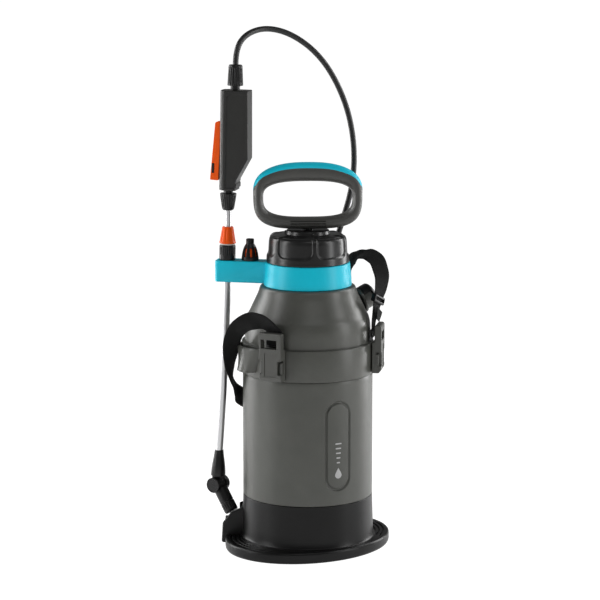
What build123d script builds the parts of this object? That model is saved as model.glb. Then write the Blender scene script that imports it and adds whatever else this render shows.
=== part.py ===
"""Compression sprayer, 5-litre class: tank on a foot plate, hand pump, hose, spray gun and parked lance.

Millimetres. Origin on the tank's axis at the underside of the foot, +Z up, -Y the front of the tank.
Angles named *_POLAR are measured about the tank's axis from +X towards +Y.
"""

from build123d import *
import math
import os

# Tank
TANK_R = 84.8
WALL = 2.8
SKIRT_TOP = 71.0
PLATE_H = 15.0
BELT_Z = (233.8, 274.6)
BELT_R = 86.0
DOME_TOP = 346.8
NECK_R = 40.0
NECK_TOP = 384.0
FOOT_TURN = 14.0
FOOT_HALF = (116.0, 95.0)
# Collar, lugs and what the collar holds
ARM_POLAR = 142.5
ARM_Z = (348.6, 376.6)
ARM_HALF = 13.0
COLLAR_Z = (347.4, 377.4)
LUG_POLARS = {"left": -145.0, "right": -35.0}
LUG_Z = (235.5, 298.5)
LUG_R = (86.4, 99.0)
LUG_W = 32.0
SPARE_R = 76.7
# Pump
CAP_Z = (378.0, 413.0)
CAP_R = 52.6
BARREL_R = 20.0
BARREL_Z = (130.0, 402.0)
ROD_R = 5.0
PISTON_Z = 150.0
HANDLE_TURN = -23.0
HANDLE_Z = (420.5, 504.5)
HANDLE_MID_Z = 468.5
HANDLE_HALF = 70.5
HANDLE_T = 26.0
GRIP_HOLE_Z = (436.0, 483.4)
# Lance and gun: one straight slide axis, leaning away from the tank as it goes down
LANCE_R = 106.9
LANCE_LEAN = 1.1
CLAMP_Z = 392.6
TUBE_OUT_R = 5.2
TUBE_BORE_R = 4.6
INNER_R = 4.0
TUBE_BEND_R = 4750.0
TUBE_LENGTH = 274.0
GUN_HALF = 13.5
GUN_SCREWS = ((-20, 192), (-21, 124), (5, 180))
SPIGOT_R = 6.2
TRIGGER_PIN = (6.5, 160)
PIN_R = 1.5
STEM_R = 1.8
PIVOT_POLAR = 31.0
NOZZLE_TILT = 32.6
# Hose and relief valve
HOSE_R = 3.75
HOSE_X = -7.3
HOSE_TOP = 238.2
HOSE_FOOT = 368.0
UNION_AT = (56.2, 40.0)
RELIEF_ELEVATION = 24.4
RELIEF_AT = (73.6, 0, 319.4)
RELIEF_HOOD_TURN = -35.0
# Corners of the hose's route between the gun's nut and the union's nut
HOSE_ROUTE = [
    (-74, 60, 650), (-58, 67, 668), (-30, 72.5, 676), (0, 71, 671), (28, 65, 655), (50, 57, 632),
    (66, 49, 603), (78, 42, 569), (84, 37, 533), (85, 35, 497), (80, 34, 462), (70, 35.5, 428),
    (60.5, 38.5, 398),
]  # fmt: skip
# Stations of the shoulder strap: centre, and the direction of its width
STRAP = [
    ((-70.4, -49.3, 280), (0.57, -0.82, 0)), ((-70.4, -49.3, 296), (0.57, -0.82, 0)),
    ((-78, -49, 306), (0.35, -0.9, 0.2)), ((-86, -42, 312), (0.06, -0.7, 0.7)),
    ((-95, -30, 311), (0, -0.35, 0.94)), ((-102, -17, 304), (-0.35, -0.44, 0.83)),
    ((-104, -3, 293), (-0.6, -0.38, 0.7)), ((-104, 9, 279), (-0.82, -0.3, 0.5)),
    ((-101, 19, 264), (-0.9, -0.33, 0.27)), ((-97, 29, 246), (-0.8, -0.6, 0.17)),
    ((-92, 37, 232), (-0.6, -0.78, 0.17)), ((-87, 45, 219), (-0.44, -0.89, 0.1)),
    ((-80, 53, 206), (-0.37, -0.73, -0.57)), ((-70, 61, 195), (-0.1, 0, -1)),
    ((-46, 81, 184), (0.1, 0.05, -1)), ((-8, 94, 187), (0.2, 0, -0.98)),
    ((30, 90, 206), (0.4, -0.13, -0.9)), ((58, 76, 250), (0.65, -0.5, -0.58)),
    ((71, 61, 300), (0.6, -0.6, -0.5)), ((76, 43, 343), (0.25, -0.7, -0.67)),
    ((74, 26, 367), (-0.2, -0.57, -0.8)), ((78, 16, 375), (-0.38, -0.8, -0.48)),
    ((81, 7, 380), (-0.44, -0.88, -0.14)), ((85, -2, 382), (-0.45, -0.83, -0.33)),
    ((88, -12, 380), (-0.58, -0.67, -0.45)), ((90, -22, 375), (-0.75, -0.48, -0.46)),
    ((90, -31, 365), (-0.89, -0.33, -0.31)), ((89, -37, 355), (-0.94, -0.31, -0.14)),
    ((86, -40, 342), (-0.91, -0.41, 0)), ((81, -42, 328), (-0.81, -0.59, 0.08)),
    ((76, -45, 314), (-0.71, -0.7, 0.1)), ((71.5, -48.5, 300), (-0.61, -0.78, 0.05)),
    ((70.4, -49.3, 280), (-0.57, -0.82, 0)),
]  # fmt: skip
ADJUSTER_STATION = 29
STRAP_TAIL = [
    ((80.5, -47.5, 316), (-0.7, -0.7, 0.1)), ((78, -50, 309), (-0.65, -0.75, 0.05)),
    ((76, -51.5, 302.5), (-0.6, -0.8, 0)),
]  # fmt: skip


def polar(radius, degrees, z=0.0):
    """A point at this radius and angle about the tank's axis."""
    turn = math.radians(degrees)
    return Vector(radius * math.cos(turn), radius * math.sin(turn), z)


def tube(outer, inner, z0, z1):
    """An upright ring about the tank's axis, or a rod when inner is 0."""
    body = extrude(Circle(outer), z1 - z0)
    if inner:
        body -= extrude(Circle(inner), z1 - z0)
    return Pos(0, 0, z0) * body


def turned(points):
    """A solid turned about Z from its half outline of (radius, height) points."""
    outline = make_face(Polyline(*[(r, 0, z) for r, z in points], close=True))
    return revolve(outline, Axis.Z)


def box(x, y, z):
    """A block from its (low, high) pairs."""
    size = [high - low for low, high in (x, y, z)]
    return Pos(*[(low + high) / 2 for low, high in (x, y, z)]) * Box(*size)


ARM_DIR = polar(1, ARM_POLAR)
LEAN = math.radians(LANCE_LEAN)
LANCE_UP = Vector(0, 0, math.cos(LEAN)) - ARM_DIR * math.sin(LEAN)
# x runs away from the tank, z runs up the lance, and y runs towards the tank's front
LANCE = Plane(
    origin=polar(LANCE_R, ARM_POLAR, CLAMP_Z), x_dir=ARM_DIR + Vector(0, 0, math.tan(LEAN)), z_dir=LANCE_UP
)


# ---------------------------------------------------------------- foot and tank


def foot_plate():
    """Oval plate with ribbed stepping tabs, the skirt that holds the tank, and the nozzle's pocket."""
    long, short = FOOT_HALF
    plate = extrude(Ellipse(long, short), PLATE_H)
    plate = fillet(plate.edges().group_by(Axis.Z)[-1], 2.0)
    for step in range(4):
        inset = 7.0 + 6.0 * step
        groove = Ellipse(long - inset, short - inset) - Ellipse(long - inset - 2.6, short - inset - 2.6)
        cutter = Pos(0, 0, PLATE_H - 2.2) * extrude(groove, 5)
        plate -= cutter & (box((58, 130), (-90, 90), (0, 40)) + box((-130, -58), (-90, 90), (0, 40)))
    plate = Rot(0, 0, FOOT_TURN) * plate
    half = [(80, 4), (86.8, PLATE_H - 1), (86.4, 22), (TANK_R, SKIRT_TOP), (82.6, SKIRT_TOP), (80, 68)]
    skirt = turned(half)
    foot = plate + skirt
    foot -= Pos(0, 0, 4.0) * extrude(Circle(82.6), 90)
    return foot + nozzle_pocket()


def nozzle_pocket():
    """Open box on the plate that the nozzle's tip drops into, its top sloping down and outwards."""
    outline = Polyline((79, 0, 4), (112.5, 0, 4), (111, 0, 31), (99, 0, 47), (79, 0, 55), close=True)
    block = extrude(make_face(outline), 20, dir=(0, 1, 0), both=True)
    hollow = box((86.5, 106.5), (-17.6, 17.6), (PLATE_H + 1, 80)) + box((96, 130), (-17.6, 17.6), (27, 80))
    hollow += box((92, 130), (-25, 0), (31, 80))
    pocket = Rot(0, 0, 150) * (block - hollow)
    return pocket - tube(83, 0, 0, 90)


def tank_shell():
    """Blow-moulded tank: straight wall, domed shoulder, threaded neck and the outlined panel at the front."""
    dome = [(82.9, BELT_Z[1] + 1.2), (81.8, BELT_Z[1] + 1.2), (81.8, 294), (81.2, 300), (79.3, 307)]
    dome += [(75.2, 314), (65.0, 335.5), (63.4, 340), (62.4, 344), (59.6, DOME_TOP)]
    outer = [(0, 4.5), (76, 4.5), (80, 6), (82.2, 11), (82.2, SKIRT_TOP + 0.4), (TANK_R, SKIRT_TOP + 0.4)]
    outer += [(TANK_R, BELT_Z[0] - 0.3), (82.9, BELT_Z[0] - 0.3)] + dome
    outer += [(NECK_R, DOME_TOP), (NECK_R, NECK_TOP), (NECK_R - WALL, NECK_TOP)]
    inner = [(r - WALL, z - (WALL if r < 80 else 0)) for r, z in dome[2:]][::-1]
    inner = [(NECK_R - WALL, DOME_TOP - WALL)] + inner
    inner += [(79.8, BELT_Z[1] - 3), (79.8, BELT_Z[0] - 4), (TANK_R - WALL, BELT_Z[0] - 8)]
    inner += [(TANK_R - WALL, SKIRT_TOP + 6), (79.2, SKIRT_TOP + 2), (79.2, 12), (75, 4.5 + WALL)]
    inner += [(0, 4.5 + WALL)]
    shell = turned(outer + inner)
    shell -= front_panel_groove()
    shell -= Pos(UNION_AT[0], UNION_AT[1], 300) * extrude(Circle(7.1), 60)
    bore = Plane(origin=RELIEF_AT, z_dir=relief_axis())
    shell -= bore.location * Pos(0, 0, -12) * extrude(Circle(9.1), 30)
    return shell


def front_panel_groove():
    """The moulded groove that outlines an upright panel with round ends."""
    outer = SlotOverall(113, 35.5) - SlotOverall(104, 26.5)
    face = Plane(origin=polar(TANK_R - 0.9, -88, 151.7), x_dir=(0, 0, 1), z_dir=polar(1, -88))
    cutter = face.location * extrude(outer, 20)
    return cutter - tube(TANK_R - 0.9, 0, 60, 240)


def belt_ring():
    """Moulded ring round the tank that the lugs clip over, with a flared grip for tipping the tank."""
    ring = tube(BELT_R, 83.2, *BELT_Z)
    ring = chamfer(ring.edges().filter_by(GeomType.CIRCLE).group_by(SortBy.RADIUS)[-1], 0.6)
    top = Pos(polar(70, 171, 272)) * Circle(20)
    low = Pos(polar(86.5, 171, 241)) * Circle(10.5)
    flare = loft([low.face(), top.face()]) - tube(84.5, 0, 200, 300)
    return ring + flare


def strap_lug(side):
    """Lug that clips over the belt ring, with a window for the strap and a spring notch in each side."""
    low, high = LUG_R
    half = LUG_W / 2
    outline = Polyline(
        (low, 0, LUG_Z[0]), (high - 4, 0, LUG_Z[0]), (high, 0, LUG_Z[0] + 5), (high, 0, LUG_Z[1] - 2),
        (high - 1.5, 0, LUG_Z[1]), (91.5, 0, LUG_Z[1]), (90, 0, LUG_Z[1] - 2), (90, 0, 277), (low, 0, 276),
        close=True,
    )  # fmt: skip
    lug = extrude(make_face(outline), half, dir=(0, 1, 0), both=True)
    lug = fillet(lug.edges().filter_by(Axis.X), 1.5)
    lug -= box((80, 110), (3 - half, half - 6), (278, 289.6))
    for edge in (-half, half):
        lug -= box((88.5, 96.5), (edge - 3.5, edge + 3.5), (244, 262))
    lug -= tube(BELT_R + 0.3, 0, 200, 277)
    return Rot(0, 0, LUG_POLARS[side]) * lug


# ---------------------------------------------------------------- collar and what it carries


def collar():
    """Bright collar round the neck, its arm that parks the lance, and the peg for the spare nozzle."""
    low, high = COLLAR_Z
    half = [(54.2, low), (57.2, low), (54.7, high - 1), (53.9, high), (41, high), (41, high - 3)]
    band = turned(half + [(51.6, high - 3)])
    arm = box((53, 121.6), (-ARM_HALF, ARM_HALF), ARM_Z)
    corners = [e for e in arm.edges().filter_by(Axis.Z) if e.center().X > 100]
    arm = fillet(corners, 5)
    arm = fillet(arm.faces().filter_by(Axis.Z).edges(), 1.2)
    arm -= box((60, 97), (3 - ARM_HALF, ARM_HALF - 3), (300, ARM_Z[1] - 3))
    arm = Rot(0, 0, ARM_POLAR) * arm
    arm -= tube(54.4, 0, 300, COLLAR_Z[1] - 3.2)
    top = ARM_Z[1] + 13
    peg = Pos(polar(SPARE_R, ARM_POLAR)) * turned([(0, 370), (4, 370), (4, ARM_Z[1]), (3.2, top), (0, top)])
    clip = extrude(Circle(TUBE_OUT_R + 0.4), 60) + box((-5, 5), (-20, 0), (0, 60))
    clip = LANCE.location * Pos(0, 0, -60) * clip
    seat = LANCE.location * Pos(0, 0, -16.2) * extrude(Circle(11), 30)
    return band + arm + peg - clip - seat


def spare_nozzle():
    """Spare nozzle on its peg: a slotted bell."""
    base = ARM_Z[1] + 0.3
    half = [(4.4, base), (11.2, base), (11.2, base + 4), (9.6, base + 14), (6.4, base + 20), (5.3, base + 22)]
    half += [(5.3, base + 28), (3.5, base + 28), (3.5, base + 16), (4.4, base + 15)]
    bell = turned(half)
    for turn in range(4):
        cutter = box((6.2, 14), (-1.9, 1.9), (base + 5, base + 17))
        bell -= Rot(0, 0, 45 + 90 * turn) * cutter
    bell -= tube(8.4, 5.0, base + 1.5, base + 16)
    return Pos(polar(SPARE_R, ARM_POLAR)) * bell


def spare_insert():
    """Coloured swirl insert that shows through the bell's slots."""
    base = ARM_Z[1] + 0.3
    half = [(5.3, base + 2), (8.1, base + 2), (8.1, base + 10), (6.6, base + 15), (5.3, base + 15)]
    return Pos(polar(SPARE_R, ARM_POLAR)) * turned(half)


# ---------------------------------------------------------------- pump


def pump_cap():
    """Screw cap with six finger panels between narrow ridges, and a raised boss round the rod."""
    low, high = CAP_Z
    half = [(46.6, low), (CAP_R + 0.6, low), (CAP_R + 0.6, low + 1.5), (CAP_R, low + 3), (50.0, high - 9)]
    half += [(48.6, high - 4.5), (45.5, high - 1.2), (41, high), (28.5, high + 1.2), (27.5, high + 5.6)]
    half += [(26.6, high + 6.4), (7, high + 6.4), (7, 407), (24, 407), (24, 389.3), (46.6, 389.3)]
    cap = turned(half)
    for ridge in range(6):
        sector = box((30, 60), (-23, 23), (low + 7, high + 12))
        sector = Rot(0, 0, ridge * 60 - 75.5) * fillet(sector.edges().filter_by(Axis.X), 7)
        skin = turned([(50.4, low + 5), (47.6, high - 6), (43.6, high + 0.2), (70, high + 3), (70, low + 5)])
        cap -= sector & skin
    return cap


def pump_barrel():
    """Pump cylinder that hangs in the tank from its flange on the neck."""
    low, high = BARREL_Z
    bore = BARREL_R - 2
    half = [(6, low), (BARREL_R, low), (BARREL_R, 386.2), (43, 386.2), (43, 389), (BARREL_R, 389)]
    half += [(BARREL_R, high), (bore, high), (bore, low + 4), (6, low + 4)]
    barrel = turned(half)
    barrel -= Rot(0, 90, 0) * Pos(-(low + 9), 0, 0) * extrude(Circle(2), 30, both=True)
    return barrel


def piston():
    """Piston with the groove for its seal."""
    low = PISTON_Z
    half = [(ROD_R, low), (17, low), (17, low + 5), (14, low + 5), (14, low + 11), (17, low + 11)]
    return turned(half + [(17, low + 16), (ROD_R, low + 16)])


def superellipse(half_width, low, high, middle, exponents, count):
    """A closed curve that bulges outwards, squarer below its widest height than above it."""
    points = []
    for step in range(count):
        turn = 2 * math.pi * step / count
        reach = high - middle if math.sin(turn) >= 0 else middle - low
        power = 2 / (exponents[1] if math.sin(turn) >= 0 else exponents[0])
        x = math.copysign(abs(math.cos(turn)) ** power, math.cos(turn)) * half_width
        z = math.copysign(abs(math.sin(turn)) ** power, math.sin(turn)) * reach + middle
        points.append((x, z))
    return Spline(*points, periodic=True)


def handle_curve(half_width, low, high):
    """Outer edge of the handle's loop, or a curve inside it."""
    return superellipse(half_width, low, high, HANDLE_MID_Z, (3.6, 2.8), 24)


def handle_loop():
    """The closed loop of the pump handle."""
    hole = superellipse(57.6, *GRIP_HOLE_Z, 462, (3.2, 2.8), 24)
    face = make_face(handle_curve(HANDLE_HALF, *HANDLE_Z)) - make_face(hole)
    return extrude(Plane.XZ * face, HANDLE_T / 2, both=True)


def handle_grip():
    """Grip of the pump handle, with three short grooves across the foot of the loop."""
    grip = handle_loop() - inlay_band(0)
    for step in range(3):
        height = 424.0 + 3.4 * step
        grip -= box((-23, 23), (-20, 1.2 - HANDLE_T / 2), (height, height + 1.3))
    grip -= tube(ROD_R + 0.02, 0, 400, 431)
    return Rot(0, 0, HANDLE_TURN) * grip


def inlay_band(gap):
    """The band along the top and the shoulders of the loop."""
    low, high = HANDLE_Z
    outer = handle_curve(HANDLE_HALF, low, high)
    inner = handle_curve(HANDLE_HALF - 3.6 + gap, low + 5, high - 6.4 + gap)
    band = extrude(Plane.XZ * (make_face(outer) - make_face(inner)), HANDLE_T / 2, both=True)
    return band & box((-90, 90), (-30, 30), (471 + gap, 520))


def handle_inlay():
    """Bright inlay of the handle."""
    return Rot(0, 0, HANDLE_TURN) * inlay_band(0.05)


# ---------------------------------------------------------------- spray gun, in the lance's own frame


def gun_outline(inset):
    """Side outline of the gun's body: straight front, back that steps in towards the lance."""
    points = [(10.6, 76), (10.6, 205.6), (-26.8, 205.6), (-28.2, 117.5), (-13.2, 90), (-12.4, 84), (-14, 80)]
    points += [(-10.6, 76)]
    face = make_face(Polyline(*[(x, 0, z) for x, z in points], close=True))
    if inset:
        face = offset(face, -inset, kind=Kind.INTERSECTION)
    return face


def gun_shell(side):
    """One half of the gun's body; side is 1 towards the tank's front and -1 away from it."""
    skin = extrude(gun_outline(0), GUN_HALF, dir=(0, side, 0))
    skin = fillet(skin.faces().sort_by(Axis.Y)[-1 if side > 0 else 0].edges(), 3.2)
    skin -= Pos(0, side * (GUN_HALF - 0.8), 0) * extrude(gun_outline(6), 5, dir=(0, side, 0))
    skin -= extrude(gun_outline(2.4), GUN_HALF - 3.4, dir=(0, side, 0))
    skin -= box((4, 20), (-6.2, 6.2), (84, 167))
    for x, z in GUN_SCREWS:
        hole = Pos(x, -20, z) * Rot(-90, 0, 0) * extrude(Circle(1.6), 30)
        post = Pos(x, 0, z) * Rot(-90 * side, 0, 0) * extrude(Circle(3.6), GUN_HALF - 2)
        skin = skin + post - hole
        if side < 0:
            skin -= Pos(x, -GUN_HALF, z) * Rot(-90, 0, 0) * extrude(Circle(3.1), 3, both=True)
    skin -= Pos(HOSE_X, 0, 190) * extrude(Circle(SPIGOT_R + 0.05), 30)
    skin -= Pos(0, 0, 60) * extrude(Circle(SPIGOT_R + 0.05), 30)
    return LANCE.location * skin


def gun_screws():
    """Three screws that pull the shells together from the back half."""
    screw = extrude(Circle(1.5), 21) + extrude(Circle(2.9), 2.2)
    return [LANCE.location * Pos(x, 0.7 - GUN_HALF, z) * Rot(-90, 0, 0) * screw for x, z in GUN_SCREWS]


def gun_valve():
    """Valve body inside the gun: lance spigot below, seat block in the middle, hose spigot above."""
    body = Pos(0, 0, 56) * extrude(Circle(SPIGOT_R), 27.5)
    body += Pos(0, 0, 80) * extrude(Circle(3.6), 32)
    body += box((-12, 4), (-6.5, 6.5), (108, 140))
    body += Pos(HOSE_X, 0, 138) * extrude(Circle(4.4), 56)
    body += Pos(HOSE_X, 0, 192) * extrude(Circle(SPIGOT_R), 30)
    body -= Pos(0, 0, 50) * extrude(Circle(INNER_R + 0.05), 18)
    body -= Pos(0, 0, 60) * extrude(Circle(2), 60)
    body -= Pos(HOSE_X, 0, 130) * extrude(Circle(2), 100)
    body -= Pos(-9, 0, 125) * Rot(0, 90, 0) * extrude(Circle(STEM_R + 0.06), 30)
    return LANCE.location * body


def valve_stem():
    """Stem that the trigger pushes in to open the valve."""
    stem = Pos(-1, 0, 125) * Rot(0, 90, 0) * extrude(Circle(STEM_R), 10.6)
    return LANCE.location * stem


def trigger():
    """Long trigger on a cross pin at its top, standing away from the gun at its foot."""
    points = [(9.8, 152), (12.4, 88), (23.4, 88.5), (17.4, 163.5), (12, 165), (8, 164.5), (3, 163), (3, 157)]
    blade = extrude(make_face(Polyline(*[(x, 0, z) for x, z in points], close=True)), 5.8, both=True)
    tall = [e for e in blade.faces().sort_by(Axis.X)[-1].edges()]
    blade = fillet(tall, 1.6)
    hole = Rot(90, 0, 0) * extrude(Circle(PIN_R + 0.06), 20, both=True)
    blade -= Pos(TRIGGER_PIN[0], 0, TRIGGER_PIN[1]) * hole
    blade -= box((17.9, 21.5), (-20, 20), (97.4, 110.4))
    return LANCE.location * blade


def trigger_lock():
    """Cross bolt through the trigger that locks it."""
    return LANCE.location * box((18.0, 21.4), (-6.4, 6.4), (97.5, 110.3))


def trigger_pin():
    """Pin that the trigger turns on, held between the shells."""
    pin = Rot(90, 0, 0) * extrude(Circle(PIN_R), 9.9, both=True)
    return LANCE.location * Pos(TRIGGER_PIN[0], 0, TRIGGER_PIN[1]) * pin


def trigger_spring():
    """Return spring between the valve block and the trigger."""
    path = Helix(pitch=1.1, height=2.2, radius=3.0)
    coil = sweep(Plane(origin=path @ 0, z_dir=path % 0) * Circle(0.4), path=path)
    return LANCE.location * Pos(4.6, 0, 136) * Rot(0, 90, 0) * coil


def hose_nut():
    """Nut that clamps the hose on the gun's spigot."""
    half = [(HOSE_R + 0.15, HOSE_TOP), (8.2, HOSE_TOP), (8.8, 236.8), (10.2, 211.4), (6.5, 211.4), (6.5, 224)]
    half += [(HOSE_R + 0.15, 224)]
    return LANCE.location * Pos(HOSE_X, 0, 0) * turned(half)


def lance_nut():
    """Nut that clamps the lance's inner tube in the gun."""
    half = [(INNER_R + 0.1, 49), (5.8, 49), (7.4, 50.2), (8.2, 52.6), (10.6, 68), (10.7, 71.4), (6.5, 71.4)]
    half += [(6.5, 55.8), (INNER_R + 0.1, 55.8)]
    return LANCE.location * turned(half)


# ---------------------------------------------------------------- lance


def lance_inner_tube():
    """Straight inner tube that slides out of the outer one with the gun."""
    pipe = extrude(Circle(INNER_R), 129.5) - extrude(Circle(INNER_R - 1), 129.5)
    return LANCE.location * Pos(0, 0, -62) * pipe


def lance_outer_tube():
    """Outer tube, sprung outwards by the nozzle standing in its pocket."""
    start = Vector(0, 0, -3.6)
    bend = TUBE_LENGTH / TUBE_BEND_R
    middle, end = [
        start + Vector(1 - math.cos(turn), 0, -math.sin(turn)) * TUBE_BEND_R for turn in (bend / 2, bend)
    ]
    path = ThreePointArc(start, middle, end)
    section = Plane(origin=start, z_dir=(0, 0, -1)) * (Circle(TUBE_OUT_R) - Circle(TUBE_BORE_R))
    return LANCE.location * sweep(section, path=path)


def clamp_collar():
    """Threaded collar on the outer tube that the clamp nut screws on; it rests in the arm's seat."""
    half = [(TUBE_OUT_R + 0.1, -16), (10.6, -16), (10.6, 2.6), (9.6, 3.8), (6.5, 3.8), (6.5, -3.4)]
    half += [(TUBE_OUT_R + 0.1, -3.4)]
    return LANCE.location * turned(half)


def clamp_collet():
    """Split collet that grips the inner tube."""
    collet = turned([(INNER_R + 0.1, -3.2), (6.3, -3.2), (6.3, 12), (5.0, 19), (INNER_R + 0.1, 19)])
    for turn in range(4):
        collet -= Rot(0, 0, 90 * turn) * box((3, 8), (-0.6, 0.6), (4, 30))
    return LANCE.location * collet


def clamp_nut():
    """Bright ribbed nut that closes the collet."""
    half = [(6.7, 4.8), (10.7, 4.8), (10.9, 6.4), (10.6, 8), (7.6, 25.8), (6.6, 27.4), (INNER_R + 0.2, 27.4)]
    half += [(INNER_R + 0.2, 22.5), (6.7, 15)]
    return LANCE.location * turned(half)


# ---------------------------------------------------------------- elbow and nozzle

ELBOW = Plane(origin=polar(121.3, ARM_POLAR, 75), x_dir=polar(1, PIVOT_POLAR), z_dir=(0, 0, 1))
REACH = math.radians(NOZZLE_TILT)
NOZZLE_DIR = Vector(0, 0, -math.cos(REACH)) + polar(1, PIVOT_POLAR - 90) * math.sin(REACH)
NOZZLE = Plane(origin=ELBOW.origin, x_dir=polar(1, PIVOT_POLAR), z_dir=NOZZLE_DIR)


def elbow_body():
    """Elbow on the lance's end: a cone round the tube that narrows to one knuckle."""
    top = polar(119.7, ARM_POLAR, 121.5)
    rings = [(polar(121.2, ARM_POLAR, 87), 9.6), (polar(120.9, ARM_POLAR, 96), 9.3), (top, 5.9)]
    cone = loft([(Pos(centre) * Circle(radius)).face() for centre, radius in rings])
    knuckle = Rot(0, 90, 0) * extrude(Circle(9.6), 4.2, both=True) + box((-4.2, 4.2), (-7, 7), (0, 14))
    knuckle = ELBOW.location * knuckle
    body = cone + knuckle
    body -= Pos(polar(119.7, ARM_POLAR, 112)) * extrude(Circle(TUBE_OUT_R + 0.5), 30)
    return body - ELBOW.location * Rot(0, 90, 0) * extrude(Circle(PIN_R + 1.03), 30, both=True)


def elbow_pin():
    """Pin through the elbow's knuckle and cheeks."""
    return ELBOW.location * Rot(0, 90, 0) * extrude(Circle(PIN_R + 1), 12.6, both=True)


def nozzle_arm():
    """Turning arm of the elbow: two round cheeks and the nozzle's stem."""
    cheek = Rot(0, 90, 0) * extrude(Circle(10.2), 13)
    stem = extrude(Circle(9.2), 27)
    stem -= Rot(0, 90, 0) * extrude(Circle(11.6), 4.9, both=True)
    arm = stem + cheek + mirror(cheek, Plane.YZ)
    arm -= Rot(0, 90, 0) * extrude(Circle(10.6), 4.9, both=True)
    arm -= Rot(0, 90, 0) * extrude(Circle(PIN_R + 1.06), 30, both=True)
    arm += Pos(0, 0, 27) * extrude(Circle(5.4), 9)
    return NOZZLE.location * arm


def nozzle_cap():
    """Adjustable nozzle cap with its tip."""
    half = [(5.5, 27.4), (9.3, 27.4), (9.3, 39), (8.2, 41), (3.2, 41), (3.0, 46.5), (0.8, 46.5)]
    return NOZZLE.location * turned(half + [(0.8, 37), (5.5, 37)])


# ---------------------------------------------------------------- shoulder fittings


def relief_axis():
    """Direction of the relief valve, square to the shoulder."""
    lift = math.radians(RELIEF_ELEVATION)
    return Vector(math.cos(lift), 0, math.sin(lift))


RELIEF = Plane(origin=RELIEF_AT, x_dir=(0, 1, 0), z_dir=relief_axis())


def relief_boss():
    """Flanged boss of the relief valve, screwed through the shoulder."""
    half = [(3, -10), (9, -10), (9, 0.6), (17.5, 1.8), (17.5, 5), (15, 5), (15, 17), (STEM_R + 0.3, 17)]
    half += [(STEM_R + 0.3, 14), (6.8, 14), (6.8, 2), (3, 2)]
    return RELIEF.location * turned(half)


def relief_knob():
    """Pull knob with a hood over the upper half of the boss."""
    crown = turned([(0, 17.5), (15.6, 17.5), (15.6, 19.5), (14, 22), (0, 22.6)])
    hood = turned([(15.3, 7), (16.6, 7), (16.6, 18), (15.3, 19)]) & box((-20, 20), (-0.5, 20), (0, 30))
    return RELIEF.location * Rot(0, 0, RELIEF_HOOD_TURN) * (crown + hood)


def relief_stem():
    """Stem of the relief valve: its disc sits on the boss's seat, and the knob is on its end."""
    return RELIEF.location * turned([(0, 2.1), (6, 2.1), (6, 4.1), (STEM_R, 4.1), (STEM_R, 17.4), (0, 17.4)])


def relief_spring():
    """Spring that keeps the relief valve shut, at the length it has with the valve pulled open."""
    path = Helix(pitch=1.4, height=4.2, radius=4.6)
    coil = sweep(Plane(origin=path @ 0, z_dir=path % 0) * Circle(0.5), path=path)
    return RELIEF.location * Pos(0, 0, 9.2) * coil


def hose_union():
    """Union in the shoulder that the hose leaves from."""
    half = [(2.2, 315), (7, 315), (7, 345), (6, 345), (6, 352), (2.2, 352)]
    return Pos(*UNION_AT) * turned(half)


def union_nut():
    """Nut that clamps the hose on the union."""
    half = [(6.2, 346.4), (8.3, 346.4), (8.0, 352), (6.6, HOSE_FOOT), (HOSE_R + 0.15, HOSE_FOOT)]
    half += [(HOSE_R + 0.15, 354), (6.2, 354)]
    return Pos(*UNION_AT) * turned(half)


def dip_tube():
    """Suction tube from the union to the foot of the tank."""
    return Pos(*UNION_AT, 24) * (extrude(Circle(4), 290.8) - extrude(Circle(2.6), 290.8))


def dip_filter():
    """Strainer on the foot of the suction tube."""
    basket = turned([(4.1, 12), (7.5, 12), (7.5, 34), (4.1, 34)])
    for turn in range(6):
        basket -= Rot(0, 0, 60 * turn) * box((3, 9), (-1, 1), (16, 30))
    return Pos(*UNION_AT) * basket


# ---------------------------------------------------------------- hose and strap


def hose():
    """Pressure hose from the tank's union, up past the handle and over to the gun."""
    start = LANCE.from_local_coords(Vector(HOSE_X, 0, HOSE_TOP))
    points = [start] + [Vector(*p) for p in HOSE_ROUTE] + [Vector(*UNION_AT, HOSE_FOOT)]
    radii = []
    for before, here, after in zip(points, points[1:], points[2:]):
        turn = math.radians((here - before).get_angle(after - here))
        shorter = min((here - before).length, (after - here).length)
        radii.append(0.45 * shorter / math.tan(turn / 2))
    path = FilletPolyline(*points, radius=radii)
    body = sweep(Plane(origin=path @ 0, z_dir=path % 0) * Circle(HOSE_R), path=path)
    print("hose arcs", [round(r) for r in radii], "length", round(path.length))
    print("hose volume over section times length", round(body.volume / (math.pi * HOSE_R**2 * path.length), 4))
    return body


def ribbon(stations, width, thickness):
    """A closed band through stations of centre and width direction, built of flat triangles."""
    rings = []
    for index, (centre, across) in enumerate(stations):
        before = stations[max(index - 1, 0)][0]
        after = stations[min(index + 1, len(stations) - 1)][0]
        along = (Vector(*after) - Vector(*before)).normalized()
        side = Vector(*across) - along * Vector(*across).dot(along)
        side = side.normalized() * (width / 2)
        proud = along.cross(side).normalized() * (thickness / 2)
        middle = Vector(*centre)
        left, right = middle + side, middle - side
        rings.append([left + proud, right + proud, right - proud, left - proud])
    faces = []
    for low, high in zip(rings, rings[1:]):
        for k in range(4):
            m = (k + 1) % 4
            faces += [(low[k], low[m], high[m]), (low[k], high[m], high[k])]
    for end in (rings[0], rings[-1]):
        faces += [(end[0], end[1], end[2]), (end[0], end[2], end[3])]
    return Solid(Shell([make_face(Polyline(*corners, close=True)).face() for corners in faces]))


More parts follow.
